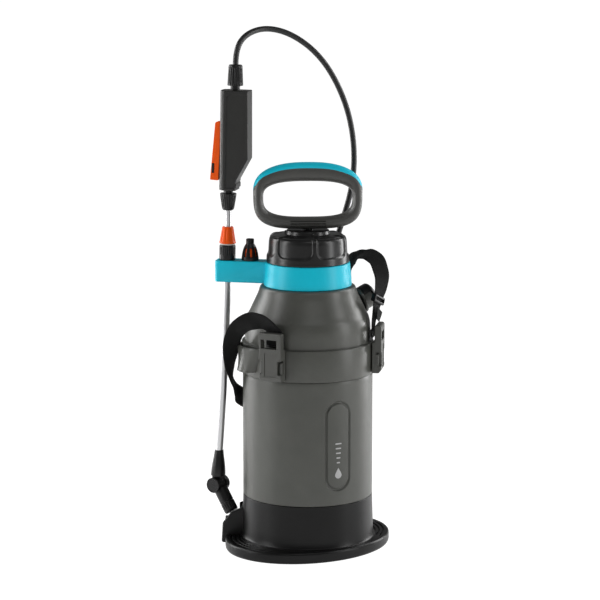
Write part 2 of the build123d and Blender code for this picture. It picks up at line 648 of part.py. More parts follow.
def strap_adjuster():
    """Slide that sets the strap's length."""
    centre, across = [Vector(*v) for v in STRAP[ADJUSTER_STATION]]
    along = (Vector(*STRAP[ADJUSTER_STATION + 1][0]) - Vector(*STRAP[ADJUSTER_STATION - 1][0])).normalized()
    frame = Plane(origin=centre, x_dir=across - along * across.dot(along), z_dir=along)
    slide = Box(30, 7.4, 11)
    slide = fillet(slide.edges().filter_by(Axis.Y), 3)
    return frame.location * (slide - Box(26, 5, 30))


PARTS = {
    "foot_plate": foot_plate(),
    "tank_shell": tank_shell(),
    "belt_ring": belt_ring(),
    "strap_lug_left": strap_lug("left"),
    "strap_lug_right": strap_lug("right"),
    "collar": collar(),
    "spare_nozzle": spare_nozzle(),
    "spare_insert": spare_insert(),
    "pump_cap": pump_cap(),
    "pump_barrel": pump_barrel(),
    "neck_gasket": tube(42, BARREL_R + 0.2, NECK_TOP + 0.1, 386.1),
    "rod_guide": tube(BARREL_R - 2.02, ROD_R + 0.05, 395, 401.8),
    "foot_valve": tube(15, 0, BARREL_Z[0] + 4.2, BARREL_Z[0] + 6),
    "pump_rod": tube(ROD_R, 0, PISTON_Z - 3, 430.8),
    "piston": piston(),
    "piston_seal": tube(BARREL_R - 2.05, 14.05, PISTON_Z + 5.2, PISTON_Z + 10.8),
    "handle_grip": handle_grip(),
    "handle_inlay": handle_inlay(),
    "gun_shell_front": gun_shell(1),
    "gun_shell_back": gun_shell(-1),
    "gun_screws": Compound(children=gun_screws()),
    "gun_valve": gun_valve(),
    "valve_stem": valve_stem(),
    "trigger": trigger(),
    "trigger_lock": trigger_lock(),
    "trigger_pin": trigger_pin(),
    "trigger_spring": trigger_spring(),
    "hose_nut": hose_nut(),
    "lance_nut": lance_nut(),
    "lance_inner_tube": lance_inner_tube(),
    "lance_outer_tube": lance_outer_tube(),
    "clamp_collar": clamp_collar(),
    "clamp_collet": clamp_collet(),
    "clamp_nut": clamp_nut(),
    "elbow_body": elbow_body(),
    "elbow_pin": elbow_pin(),
    "nozzle_arm": nozzle_arm(),
    "nozzle_cap": nozzle_cap(),
    "relief_boss": relief_boss(),
    "relief_knob": relief_knob(),
    "relief_stem": relief_stem(),
    "relief_spring": relief_spring(),
    "hose_union": hose_union(),
    "union_nut": union_nut(),
    "dip_tube": dip_tube(),
    "dip_filter": dip_filter(),
    "hose": hose(),
    "shoulder_strap": ribbon(STRAP, 24, 1.8),
    "strap_tail": ribbon(STRAP_TAIL, 24, 1.6),
    "strap_adjuster": strap_adjuster(),
}
os.makedirs("parts", exist_ok=True)
for name, solid in PARTS.items():
    export_step(solid, f"parts/{name}.step")
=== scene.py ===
"""Garden pressure sprayer, 5-litre class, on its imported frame. Metres; outlines are in millimetres."""

import math

import bpy
from mathutils import Matrix, Vector


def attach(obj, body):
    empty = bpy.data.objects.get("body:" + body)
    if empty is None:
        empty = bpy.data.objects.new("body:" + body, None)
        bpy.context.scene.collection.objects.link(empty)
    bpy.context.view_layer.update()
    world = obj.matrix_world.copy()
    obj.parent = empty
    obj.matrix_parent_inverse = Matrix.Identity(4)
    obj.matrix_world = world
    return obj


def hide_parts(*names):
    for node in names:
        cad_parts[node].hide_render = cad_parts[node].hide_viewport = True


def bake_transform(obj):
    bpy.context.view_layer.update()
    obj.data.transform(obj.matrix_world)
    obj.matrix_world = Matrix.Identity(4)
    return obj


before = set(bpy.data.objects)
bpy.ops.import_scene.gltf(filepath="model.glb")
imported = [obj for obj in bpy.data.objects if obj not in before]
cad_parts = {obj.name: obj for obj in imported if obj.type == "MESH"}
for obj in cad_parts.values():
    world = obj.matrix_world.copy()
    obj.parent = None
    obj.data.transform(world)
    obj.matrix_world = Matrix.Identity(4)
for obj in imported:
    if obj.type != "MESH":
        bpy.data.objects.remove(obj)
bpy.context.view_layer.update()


# ---------------------------------------------------------------- studio
# A long lens looks slightly down on the sprayer from its front left. Two tall softboxes behind it and two
# strips beside it give each round wall bright bands near its edges, and a wide one lights it from above.

CAMERA_DISTANCE = 3.185
CAMERA_POLAR = math.radians(-115.5)
CAMERA_ELEVATION = math.radians(9.8)
AIM = Vector((-0.0091, 0.0043, 0.3267))
FLOOR_GLOW = 1.25
FLOOR_GLOW_SHARE = 0.72
CARD_DISTANCE = 1.5

flat = CAMERA_DISTANCE * math.cos(CAMERA_ELEVATION)
lift = CAMERA_DISTANCE * math.sin(CAMERA_ELEVATION)
bpy.ops.object.select_all(action="DESELECT")
bpy.ops.object.camera_add(
    location=AIM + Vector((flat * math.cos(CAMERA_POLAR), flat * math.sin(CAMERA_POLAR), lift))
)
camera = bpy.context.object
camera.data.lens = 147
camera.data.sensor_width = 36
camera.rotation_euler = (AIM - camera.location).to_track_quat("-Z", "Y").to_euler()
bpy.context.scene.camera = camera


def softbox(name, polar, distance, height, size, watts):
    """A tall soft light that faces the sprayer from this angle."""
    turn = math.radians(polar)
    bpy.ops.object.light_add(type="AREA")
    light = bpy.context.object
    light.name = name
    light.location = (distance * math.cos(turn), distance * math.sin(turn), height)
    light.data.shape = "RECTANGLE"
    light.data.size, light.data.size_y = size
    light.data.energy = watts
    light.rotation_euler = (Vector((0, 0, 0.3)) - light.location).to_track_quat("-Z", "Y").to_euler()


softbox("Left softbox", 128, 1.5, 0.7, (0.45, 1.6), 17)
softbox("Right softbox", 7, 1.5, 0.7, (0.45, 1.6), 17)
softbox("Left strip", 171, 2.2, 0.9, (0.4, 1.8), 17)
softbox("Right strip", -44, 2.2, 0.9, (0.4, 1.8), 17)
softbox("Top softbox", -100, 1.9, 2.4, (1.6, 1.2), 7)

world = bpy.data.worlds.new("Studio white")
bpy.context.scene.world = world
world.use_nodes = True
world.node_tree.nodes["Background"].inputs["Color"].default_value = (1, 1, 1, 1)
world.node_tree.nodes["Background"].inputs["Strength"].default_value = 0.16
bpy.context.scene.view_settings.view_transform = "Standard"

bpy.ops.mesh.primitive_plane_add(size=60, location=(0, 0, 0))
floor = bpy.context.object
floor.name = "Floor"
floor_paint = bpy.data.materials.new("Pale floor")
floor_paint.use_nodes = True
floor_shader = floor_paint.node_tree.nodes["Principled BSDF"]
floor_shader.inputs["Base Color"].default_value = (0.93, 0.93, 0.93, 1)
floor_shader.inputs["Roughness"].default_value = 0.6
floor_shader.inputs["Emission Color"].default_value = (1, 1, 1, 1)
floor_shader.inputs["Emission Strength"].default_value = 0.34
floor_tree = floor_paint.node_tree
seen = floor_tree.nodes.new("ShaderNodeLightPath").outputs["Is Camera Ray"]
glow = floor_tree.nodes.new("ShaderNodeEmission")
glow.inputs["Strength"].default_value = FLOOR_GLOW
share = floor_tree.nodes.new("ShaderNodeMath")
share.operation = "MULTIPLY"
share.inputs[1].default_value = FLOOR_GLOW_SHARE
layers = floor_tree.nodes.new("ShaderNodeMixShader")
floor_tree.links.new(seen, share.inputs[0])
floor_tree.links.new(share.outputs[0], layers.inputs[0])
floor_tree.links.new(floor_shader.outputs[0], layers.inputs[1])
floor_tree.links.new(glow.outputs[0], layers.inputs[2])
floor_tree.links.new(layers.outputs[0], floor_tree.nodes["Material Output"].inputs["Surface"])
floor.data.materials.append(floor_paint)

# Black cards stand behind the sprayer and give metal and gloss their dark edges. They are outside the front
# view, but a camera on the far side of the sprayer can have one in front of it.
card_paint = bpy.data.materials.new("Black card")
card_paint.use_nodes = True
card_paint.node_tree.nodes["Principled BSDF"].inputs["Base Color"].default_value = (0.01, 0.01, 0.01, 1)
for name, polar in (("Left card", 102), ("Right card", 27)):
    turn = math.radians(polar)
    spot = (CARD_DISTANCE * math.cos(turn), CARD_DISTANCE * math.sin(turn), 0.6)
    bpy.ops.mesh.primitive_plane_add(size=1, location=spot)
    card = bpy.context.object
    card.name = name
    card.scale = (0.5, 1.6, 1)
    card.rotation_euler = Vector((-math.cos(turn), -math.sin(turn), 0)).to_track_quat("Z", "Y").to_euler()
    card.data.materials.append(card_paint)


# ---------------------------------------------------------------- hose
# Black reinforced pressure hose, 7.5 mm across. It is pushed on a spigot in the tank's shoulder, rises past
# the handle, bends over under its own stiffness and comes down into the nut on top of the spray gun.

MM = 0.001


class Socket:
    """An output of a shader node. Arithmetic on it adds Math nodes, and node() adds any other node."""

    def __init__(self, tree, output=None):
        self.tree = tree
        self.output = output

    def node(self, kind, links=None, out=0, stops=(), **settings):
        """Adds a node: its settings and ramp stops first, then the values or links of its inputs."""
        node = self.tree.nodes.new("ShaderNode" + kind)
        for key, value in settings.items():
            setattr(node, key, value)
        for place, (position, colour) in enumerate(stops):
            ramp = node.color_ramp.elements
            stop = ramp[place] if place < 2 else ramp.new(position)
            stop.position = position
            stop.color = colour
        for key, value in (links or {}).items():
            if isinstance(value, Socket):
                self.tree.links.new(value.output, node.inputs[key])
            else:
                node.inputs[key].default_value = value
        return Socket(self.tree, node.outputs[out])

    def math(self, operation, first, second):
        return self.node("Math", {0: first, 1: second}, operation=operation)

    def __add__(self, other):
        return self.math("ADD", self, other)

    def __sub__(self, other):
        return self.math("SUBTRACT", self, other)

    def __rsub__(self, other):
        return self.math("SUBTRACT", other, self)

    def __mul__(self, other):
        return self.math("MULTIPLY", self, other)

    __radd__ = __add__
    __rmul__ = __mul__


def shade(grey):
    """A neutral colour, or the colour given, with full alpha."""
    return (grey, grey, grey, 1) if isinstance(grey, float) else (*grey, 1)


def finish_of(name, **constants):
    """A new material, its shader with these constants, and a socket to start its nodes from."""
    material = bpy.data.materials.new(name)
    material.use_nodes = True
    shader = material.node_tree.nodes["Principled BSDF"]
    for key, value in constants.items():
        shader.inputs[key.replace("_", " ")].default_value = value
    return material, shader, Socket(material.node_tree)


def moulded(name, dark, light, rough, grain=1600.0, depth=0.00002, spread=0.08, **constants):
    """Moulded plastic: faint clouds in its colour, a roughness that varies, and a fine grain."""
    material, shader, start = finish_of(name, **constants)
    place = start.node("TexCoord", out="Object")
    cloud = start.node("TexNoise", {"Vector": place, "Scale": 22.0, "Detail": 4.0, "Roughness": 0.6})
    speck = start.node("TexNoise", {"Vector": place, "Scale": grain, "Detail": 2.0})
    handled = start.node("TexNoise", {"Vector": place, "Scale": 70.0, "Detail": 5.0, "Roughness": 0.7})
    tone = cloud * 0.7 + speck * 0.3
    colour = start.node("ValToRGB", {0: tone}, stops=((0.3, shade(dark)), (0.7, shade(light))))
    bump = start.node(
        "Bump", {"Strength": 1.0, "Distance": depth, "Height": speck + cloud * 0.5}, out="Normal"
    )
    links = material.node_tree.links
    links.new(colour.output, shader.inputs["Base Color"])
    links.new((rough - spread * 0.5 + handled * spread).output, shader.inputs["Roughness"])
    links.new(bump.output, shader.inputs["Normal"])
    return material


def only(piece):
    """Selects this piece alone."""
    bpy.ops.object.select_all(action="DESELECT")
    piece.select_set(True)
    bpy.context.view_layer.objects.active = piece


def fit(piece, material, slot, body, *nodes):
    """Gives a finished piece its material, its body and the CAD nodes that it stands for."""
    piece.data.materials.clear()
    piece.data.materials.append(material)
    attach(piece, body)
    if nodes:
        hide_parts(*nodes)


def dress(material, *nodes):
    """Gives CAD nodes that keep their shape a material."""
    for node in nodes:
        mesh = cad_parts[node].data
        mesh.materials.clear()
        mesh.materials.append(material)


def modified(piece, name, kind, **settings):
    """Gives a piece a modifier with these settings and applies it."""
    only(piece)
    step = piece.modifiers.new(name, kind)
    for key, value in settings.items():
        setattr(step, key, value)
    bpy.ops.object.modifier_apply(modifier=step.name)


def smooth(piece, degrees):
    """Shades a piece smooth, with the edges sharper than this angle kept sharp."""
    only(piece)
    bpy.ops.object.shade_smooth_by_angle(angle=math.radians(degrees))


def face_out(piece):
    """Turns every face of a piece outwards."""
    only(piece)
    bpy.ops.object.mode_set(mode="EDIT")
    bpy.ops.mesh.select_all(action="SELECT")
    bpy.ops.mesh.normals_make_consistent(inside=False)
    bpy.ops.object.mode_set(mode="OBJECT")


def axes(x, z):
    """The turn that lays X and Z along these directions."""
    return Matrix((x, z.cross(x), z)).transposed().to_4x4()


# the lance's own directions: x away from the tank, z up the lance, y towards the tank's front
ARM_POLAR = math.radians(142.5)
LEAN = math.radians(1.1)
ARM_OUT = Vector((math.cos(ARM_POLAR), math.sin(ARM_POLAR), 0))
LANCE_UP = Vector((0, 0, math.cos(LEAN))) - ARM_OUT * math.sin(LEAN)
LANCE_X = ARM_OUT * math.cos(LEAN) + Vector((0, 0, math.sin(LEAN)))
LANCE = Matrix.Translation(ARM_OUT * 0.1069 + Vector((0, 0, 0.3926))) @ axes(LANCE_X, LANCE_UP)

HOSE_R = 3.75
UNION_AT = (56.2, 40.0)
HOSE_FOOT = 368.0
HOSE_AT_GUN = LANCE @ Vector((-0.0073, 0, 0.2382))
HOSE_ROUTE = [
    (-74, 60, 650), (-58, 67, 668), (-30, 72.5, 676), (0, 71, 671), (28, 65, 655), (50, 57, 632),
    (66, 49, 603), (78, 42, 569), (84, 37, 533), (85, 35, 497), (80, 34, 462), (70, 35.5, 428),
    (60.5, 38.5, 398),
]  # fmt: skip
HOSE_SIDES = 20


def spline_line(points, steps):
    """The points that a smooth spline through this route follows."""
    curve = bpy.data.curves.new("Route", "CURVE")
    curve.dimensions = "3D"
    curve.resolution_u = steps
    spline = curve.splines.new("NURBS")
    spline.points.add(len(points) - 1)
    for knot, point in zip(spline.points, points):
        knot.co = (*point, 1)
    spline.order_u = 3
    spline.use_endpoint_u = True
    holder = bpy.data.objects.new("Route", curve)
    bpy.context.collection.objects.link(holder)
    bpy.context.view_layer.update()
    line = bpy.data.meshes.new_from_object(holder)
    path = [vertex.co.copy() for vertex in line.vertices]
    bpy.data.objects.remove(holder)
    return path


def tube_along(name, path, radius, sides):
    """A round tube along a path: a ring is drawn out from point to point and its ends are closed."""
    bpy.ops.object.select_all(action="DESELECT")
    bpy.ops.mesh.primitive_circle_add(vertices=sides, radius=radius)
    tube = bpy.context.object
    tube.name = name
    bpy.ops.object.mode_set(mode="EDIT")
    for _ in path[1:]:
        bpy.ops.mesh.extrude_edges_move(TRANSFORM_OT_translate={"value": (0, 0, radius)})
    bpy.ops.mesh.select_all(action="SELECT")
    bpy.ops.mesh.fill_holes(sides=0)
    bpy.ops.object.mode_set(mode="OBJECT")
    side = Vector((1, 0, 0))
    uv = tube.data.uv_layers.new(name="Along")
    travelled = 0.0
    reach = []
    for index, point in enumerate(path):
        ahead = path[min(index + 1, len(path) - 1)] - path[max(index - 1, 0)]
        ahead.normalize()
        side = (side - ahead * side.dot(ahead)).normalized()
        up = ahead.cross(side)
        for step in range(sides):
            turn = math.tau * step / sides
            spot = point + (side * math.cos(turn) + up * math.sin(turn)) * radius
            tube.data.vertices[index * sides + step].co = spot
        if index:
            travelled += (point - path[index - 1]).length
        reach.append(travelled)
    for loop in tube.data.loops:
        index, step = divmod(loop.vertex_index, sides)
        uv.data[loop.index].uv = (step / sides, reach[index])
    face_out(tube)
    smooth(tube, 50)
    return tube


route = [HOSE_AT_GUN] + [Vector(point) * MM for point in HOSE_ROUTE]
route.append(Vector((*UNION_AT, HOSE_FOOT)) * MM)
hose_path = spline_line(route, 12)
hose = tube_along("Hose", hose_path, HOSE_R * MM, HOSE_SIDES)
hose_rubber = moulded("Black hose", 0.010, 0.017, 0.36, grain=900.0, depth=0.00003, spread=0.16)
hose.data.materials.append(hose_rubber)
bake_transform(hose)
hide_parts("hose")


# ---------------------------------------------------------------- shoulder strap
# Black polypropylene webbing, 24 mm wide. From the left lug it hangs in a loop behind the tank, comes up over
# the right shoulder, passes the plastic slide and goes through the right lug.

STRAP_WIDTH = 24
STRAP_THICKNESS = 1.5
STRAP = [
    ((-70.4, -49.3, 280), (0.57, -0.82, 0)), ((-70.4, -49.3, 296), (0.57, -0.82, 0)),
    ((-78, -49, 306), (0.35, -0.9, 0.2)), ((-86, -42, 312), (0.06, -0.7, 0.7)),
    ((-95, -30, 311), (0, -0.35, 0.94)), ((-102, -17, 304), (-0.35, -0.44, 0.83)),
    ((-104, -3, 293), (-0.6, -0.38, 0.7)), ((-104, 9, 279), (-0.82, -0.3, 0.5)),
    ((-101, 19, 264), (-0.9, -0.33, 0.27)), ((-97, 29, 246), (-0.8, -0.6, 0.17)),
    ((-92, 37, 232), (-0.6, -0.78, 0.17)), ((-87, 45, 219), (-0.44, -0.89, 0.1)),
    ((-80, 53, 206), (-0.37, -0.73, -0.57)), ((-70, 61, 195), (-0.1, 0, -1)),
    ((-46, 81, 184), (0.1, 0.05, -1)), ((-8, 94, 187), (0.2, 0, -0.98)),
    ((30, 90, 206), (0.4, -0.13, -0.9)), ((58, 76, 250), (0.65, -0.5, -0.58)),
    ((71, 61, 300), (0.6, -0.6, -0.5)), ((76, 43, 343), (0.25, -0.7, -0.67)),
    ((74, 26, 367), (-0.2, -0.57, -0.8)), ((78, 16, 375), (-0.38, -0.8, -0.48)),
    ((81, 7, 380), (-0.44, -0.88, -0.14)), ((85, -2, 382), (-0.45, -0.83, -0.33)),
    ((88, -12, 380), (-0.58, -0.67, -0.45)), ((90, -22, 375), (-0.75, -0.48, -0.46)),
    ((90, -31, 365), (-0.89, -0.33, -0.31)), ((89, -37, 355), (-0.94, -0.31, -0.14)),
    ((86, -40, 342), (-0.91, -0.41, 0)), ((81, -42, 328), (-0.81, -0.59, 0.08)),
    ((76, -45, 314), (-0.71, -0.7, 0.1)), ((71.5, -48.5, 300), (-0.61, -0.78, 0.05)),
    ((70.4, -49.3, 280), (-0.57, -0.82, 0)),
]  # fmt: skip
STRAP_TAIL = [
    ((80.5, -47.5, 316), (-0.7, -0.7, 0.1)), ((78, -50, 309), (-0.65, -0.75, 0.05)),
    ((76, -51.5, 302.5), (-0.6, -0.8, 0)),
]  # fmt: skip
ADJUSTER_STATION = 29
WARP_ENDS = 22
WEFT_PITCH = 0.0016


def webbing():
    """Woven black webbing: paired warp ribs along it, weft crossings and a fuzz of fibres."""
    material, shader, start = finish_of("Black webbing", Specular_IOR_Level=0.12, Sheen_Weight=0.03)
    flat_place = start.node("UVMap", uv_map="Weave")
    across = start.node("SeparateXYZ", {0: flat_place}, out=0)
    along = start.node("SeparateXYZ", {0: flat_place}, out=1)
    warp = start.node("Math", {0: across * (WARP_ENDS * math.tau)}, operation="SINE")
    shifted = along * (math.tau / WEFT_PITCH) + warp * 1.4
    weft = start.node("Math", {0: shifted}, operation="SINE")
    threads = warp * 0.5 + weft * 0.35
    fibres = start.node(
        "TexNoise", {"Vector": start.node("TexCoord", out="Object"), "Scale": 1500.0, "Detail": 3.0}
    )
    height = threads + fibres * 0.5
    tone = threads * 0.22 + fibres
    colour = start.node("ValToRGB", {0: tone}, stops=((0.2, shade(0.004)), (0.85, shade(0.016))))
    bump = start.node("Bump", {"Strength": 0.9, "Distance": 0.00025, "Height": height}, out="Normal")
    links = material.node_tree.links
    links.new(colour.output, shader.inputs["Base Color"])
    links.new((0.72 + fibres * 0.18).output, shader.inputs["Roughness"])
    links.new(bump.output, shader.inputs["Normal"])
    return material


def spline_weights(t):
    """What four neighbouring points count for at share t between the middle two."""
    return (
        (-t + 2 * t**2 - t**3) / 2, (2 - 5 * t**2 + 3 * t**3) / 2,
        (t + 4 * t**2 - 3 * t**3) / 2, (-(t**2) + t**3) / 2,
    )  # fmt: skip


def between(stations, steps):
    """Stations of a smooth band: each stretch is eased through its neighbours."""
    eased = []
    last = len(stations) - 1
    for index in range(last):
        near = [stations[min(max(index + k, 0), last)] for k in (-1, 0, 1, 2)]
        for step in range(steps):
            weights = spline_weights(step / steps)
            centre = sum((Vector(s[0]) * w for s, w in zip(near, weights)), Vector())
            width = sum((Vector(s[1]).normalized() * w for s, w in zip(near, weights)), Vector())
            eased.append((centre * MM, width))
    eased.append((Vector(stations[last][0]) * MM, Vector(stations[last][1])))
    return eased


def band(name, stations, columns=6):
    """A band of webbing drawn out from station to station, with its length and width as its weave's UVs."""
    bpy.ops.object.select_all(action="DESELECT")
    rows = len(stations)
    bpy.ops.mesh.primitive_grid_add(x_subdivisions=columns, y_subdivisions=rows - 1, size=1)
    piece = bpy.context.object
    piece.name = name
    travelled = 0.0
    reach = []
    for row, (centre, width) in enumerate(stations):
        ahead = stations[min(row + 1, rows - 1)][0] - stations[max(row - 1, 0)][0]
        side = (width - ahead * (width.dot(ahead) / ahead.dot(ahead))).normalized()
        if row:
            travelled += (centre - stations[row - 1][0]).length
        reach.append(travelled)
        for column in range(columns + 1):
            share = column / columns - 0.5
            spot = centre + side * (share * STRAP_WIDTH * MM)
            piece.data.vertices[row * (columns + 1) + column].co = spot
    weave = piece.data.uv_layers[0]
    weave.name = "Weave"
    for loop in piece.data.loops:
        row, column = divmod(loop.vertex_index, columns + 1)
        weave.data[loop.index].uv = (column / columns, reach[row])
    modified(piece, "Thickness", "SOLIDIFY", thickness=STRAP_THICKNESS * MM, offset=0)
    modified(piece, "Selvedge", "BEVEL", width=0.0005, segments=2, angle_limit=math.radians(50))
    smooth(piece, 50)
    return piece, travelled


strap_webbing = webbing()
strap, strap_length = band("Shoulder_strap", between(STRAP, 6))
fit(strap, strap_webbing, "strap_black", "tank", "shoulder_strap")
tail, tail_length = band("Strap_tail", between(STRAP_TAIL, 6))
fit(tail, strap_webbing, "strap_black", "tank", "strap_tail")


# ---------------------------------------------------------------- foot
# Black injection-moulded foot: an oval plate with ribbed stepping tabs, a skirt that the tank is pressed
# into, and on one side an open pocket that the parked nozzle drops into.

FOOT_TURN = math.radians(14)
FOOT_SHORT = 95 / 116
TAB_FROM = 0.060
TAB_TO = 0.068


def turned(name, outline, sides=96, hollow=False):
    """A piece turned about Z: a ring of edges is drawn out from point to point of its half outline."""
    bpy.ops.object.select_all(action="DESELECT")
    radius, height = outline[0]
    bpy.ops.mesh.primitive_circle_add(vertices=sides, radius=radius * MM, location=(0, 0, height * MM))
    piece = bpy.context.object
    piece.name = name
    bpy.ops.object.transform_apply()
    bpy.ops.object.mode_set(mode="EDIT")
    for (r0, z0), (r1, z1) in zip(outline, outline[1:]):
        bpy.ops.mesh.extrude_edges_move(TRANSFORM_OT_translate={"value": (0, 0, (z1 - z0) * MM)})
        bpy.ops.transform.resize(value=(r1 / r0, r1 / r0, 1), center_override=(0, 0, 0))
    bpy.ops.mesh.select_all(action="DESELECT")
    bpy.ops.mesh.select_mode(type="EDGE")
    bpy.ops.mesh.select_non_manifold()
    if hollow:
        bpy.ops.mesh.bridge_edge_loops()
    else:
        bpy.ops.mesh.fill_holes(sides=0)
    bpy.ops.mesh.select_all(action="SELECT")
    bpy.ops.mesh.normals_make_consistent(inside=False)
    bpy.ops.mesh.select_mode(type="VERT")
    bpy.ops.object.mode_set(mode="OBJECT")
    return piece


def block(name, x, y, z):
    """A block between its low and high corners."""
    bpy.ops.object.select_all(action="DESELECT")
    middle = [(low + high) / 2 * MM for low, high in (x, y, z)]
    size = [(high - low) * MM for low, high in (x, y, z)]
    bpy.ops.mesh.primitive_cube_add(size=1, location=middle, scale=size)
    piece = bpy.context.object
    piece.name = name
    bpy.ops.object.transform_apply()
    return piece


def plate(name, outline, y):
    """A plate with this outline in X and Z, drawn out between two places in Y."""
    bpy.ops.object.select_all(action="DESELECT")
    bpy.ops.mesh.primitive_circle_add(vertices=len(outline), radius=MM, fill_type="NGON")
    piece = bpy.context.object
    piece.name = name
    for corner, (x, z) in zip(piece.data.vertices, outline):
        corner.co = Vector((x, y[0], z)) * MM
    bpy.ops.object.mode_set(mode="EDIT")
    bpy.ops.mesh.select_all(action="SELECT")
    drawn = {"value": (0, (y[1] - y[0]) * MM, 0)}
    bpy.ops.mesh.extrude_region_move(TRANSFORM_OT_translate=drawn)
    bpy.ops.mesh.select_all(action="SELECT")
    bpy.ops.mesh.normals_make_consistent(inside=False)
    bpy.ops.object.mode_set(mode="OBJECT")
    return piece


def combine(piece, tool, operation="DIFFERENCE"):
    """Cuts one shape out of a piece, or adds it, and drops the tool."""
    modified(piece, "Cut", "BOOLEAN", operation=operation, solver="EXACT", object=tool)
    bpy.data.objects.remove(tool)


def soften(piece, width, segments=3, angle=32, sharp=40):
    """Rounds a piece's sharp edges, and shades it smooth with its flats kept flat."""
    limit = math.radians(angle)
    modified(piece, "Rounded edges", "BEVEL", width=width * MM, segments=segments, angle_limit=limit)
    smooth(piece, sharp)
    modified(piece, "Flats", "WEIGHTED_NORMAL", keep_sharp=True)


def place(piece, matrix):
    """Moves a piece from where it was modelled to its place on the sprayer."""
    only(piece)
    piece.matrix_world = matrix
    bpy.ops.object.transform_apply()


def join(piece, *others):
    """Joins pieces of one moulding."""
    only(piece)
    for other in others:
        other.select_set(True)
    bpy.ops.object.join()


def ease(low, high, value):
    """0 below low, 1 above high and a smooth rise between."""
    share = min(max((value - low) / (high - low), 0), 1)
    return share * share * (3 - 2 * share)


def upright(polar, radius=0.0, height=0.0):
    """A place about the tank's axis, with X pointing away from the axis."""
    turn = Matrix.Rotation(math.radians(polar), 4, "Z")
    return turn @ Matrix.Translation((radius * MM, 0, height * MM))


base_black = moulded(
    "Black satin base", 0.003, 0.005, 0.34, depth=0.00005, spread=0.12, Specular_IOR_Level=0.25
)
rim = [(70, 0), (112, 0), (114.4, 1.0), (115.6, 3), (116, 5), (116, 11.6), (115.5, 13.4), (114.2, 14.6)]
rim += [(112.4, 15)]
grooves = []
for step in range(4):
    edge = 109 - 6 * step
    grooves += [(edge, 15), (edge - 0.5, 12.9), (edge - 2.3, 12.9), (edge - 2.8, 15)]
plate_low = turned("Foot", rim + grooves + [(84, 15), (70, 15)], sides=240, hollow=True)
for corner in plate_low.data.vertices:
    reach = abs(corner.co.x)
    if 0.0125 < corner.co.z < 0.0145 and corner.co.xy.length < 0.111:
        corner.co.z += (0.015 - corner.co.z) * (1 - ease(TAB_FROM, TAB_TO, reach))
    corner.co.y *= FOOT_SHORT
place(plate_low, Matrix.Rotation(FOOT_TURN, 4, "Z"))
soften(plate_low, 0.35, segments=2)
skirt_outline = [(80, 4), (80, 68), (82.7, 68), (82.7, 71), (84.4, 71), (84.8, 70.4), (86.3, 24), (86.9, 18)]
skirt_outline += [(88.2, 15.6), (90, 14.6), (90, 4)]
skirt = turned("Skirt", skirt_outline, sides=144, hollow=True)
soften(skirt, 0.25, segments=2, sharp=50)
wall = plate("Pocket", [(79, 4), (112.5, 4), (111, 31), (99, 47), (79, 55)], (-20, 20))
soften(wall, 3.0, segments=4, angle=40)
combine(wall, block("Room", (86.5, 106.5), (-17.6, 17.6), (16, 80)))
combine(wall, block("Front way", (96, 130), (-17.6, 17.6), (27, 80)))
combine(wall, block("Swing way", (92, 130), (-25, 0), (31, 80)))
place(wall, upright(150))
combine(wall, turned("Tank room", [(83.5, -5), (83.5, 90)], sides=144))
soften(wall, 0.5, segments=2)
join(plate_low, skirt, wall)
fit(plate_low, base_black, "black_base", "tank", "foot_plate")


# ---------------------------------------------------------------- tank
# Blow-moulded polyethylene tank in warm dark grey, with a satin skin. Its front carries an upright panel with
# round ends, outlined by a moulded groove, and the neck is open when the pump is out.

TANK_R = 84.8
PANEL_POLAR = -88
PANEL_MIDDLE = 149.2
PANEL_HALF = 40.4
PANEL_R = 16.8
GROOVE_HALF = 2.4
GROOVE_DEPTH = 2.0
NECK_R = 40.0


def eased_line(points, steps):
    """A smooth line of (radius, height) points through these ones."""
    line = []
    for index in range(len(points) - 1):
        near = [points[min(max(index + k, 0), len(points) - 1)] for k in (-1, 0, 1, 2)]
        for step in range(steps):
            weights = spline_weights(step / steps)
            line.append(tuple(sum(p[axis] * w for p, w in zip(near, weights)) for axis in (0, 1)))
    return line + [points[-1]]


tank_grey = moulded(
    "Warm grey tank", (0.064, 0.066, 0.058), (0.080, 0.082, 0.072), 0.35,
    grain=1100.0, depth=0.00005, spread=0.1,
)  # fmt: skip
dome = [(81.8, 275.8), (81.8, 286), (81.6, 294), (80.8, 301), (79, 307.5), (75.4, 314), (70.4, 324.6)]
dome += [(65.4, 335.2), (63.6, 340), (62.4, 344), (61.2, 346), (59, 346.8)]
dome = eased_line(dome, 4)
wall_rows = [(TANK_R, 72 + 4 * row) for row in range(1, 40)]
outer = [(30, 4.5), (76, 4.5), (80, 6), (82.2, 11), (82.2, 71.4), (TANK_R - 0.5, 71.4), (TANK_R, 72)]
outer += wall_rows + [(TANK_R, 231.6), (84.5, 233), (83.6, 233.7), (82.9, 233.8), (82.9, 275.4)]
outer += dome + [(NECK_R + 1, 346.8), (NECK_R, 347.8)]
for thread in range(3):
    foot = 356 + 8 * thread
    outer += [(NECK_R, foot), (NECK_R + 1.1, foot + 1), (NECK_R + 1.1, foot + 2), (NECK_R, foot + 3)]
outer += [(NECK_R, 383.4), (NECK_R - 0.6, 384), (37.8, 384), (37.2, 383.4)]
inner = [(37.2, 344), (60.4, 341), (72.6, 311.4), (78.4, 297), (79, 274), (79.8, 270), (79.8, 230), (82, 225)]
inner += [(82, 77), (79.2, 73), (79.2, 12), (75, 7.3), (30, 7.3)]
tank = turned("Tank", outer + inner, sides=192, hollow=True)


def panel_depth(across, height):
    """How deep the panel's groove is at this place, from its distance to the panel's round-ended outline."""
    over = max(abs(height) - PANEL_HALF, 0)
    off = abs(math.hypot(across, over) - PANEL_R)
    return GROOVE_DEPTH * (1 - ease(0.5, GROOVE_HALF, off))


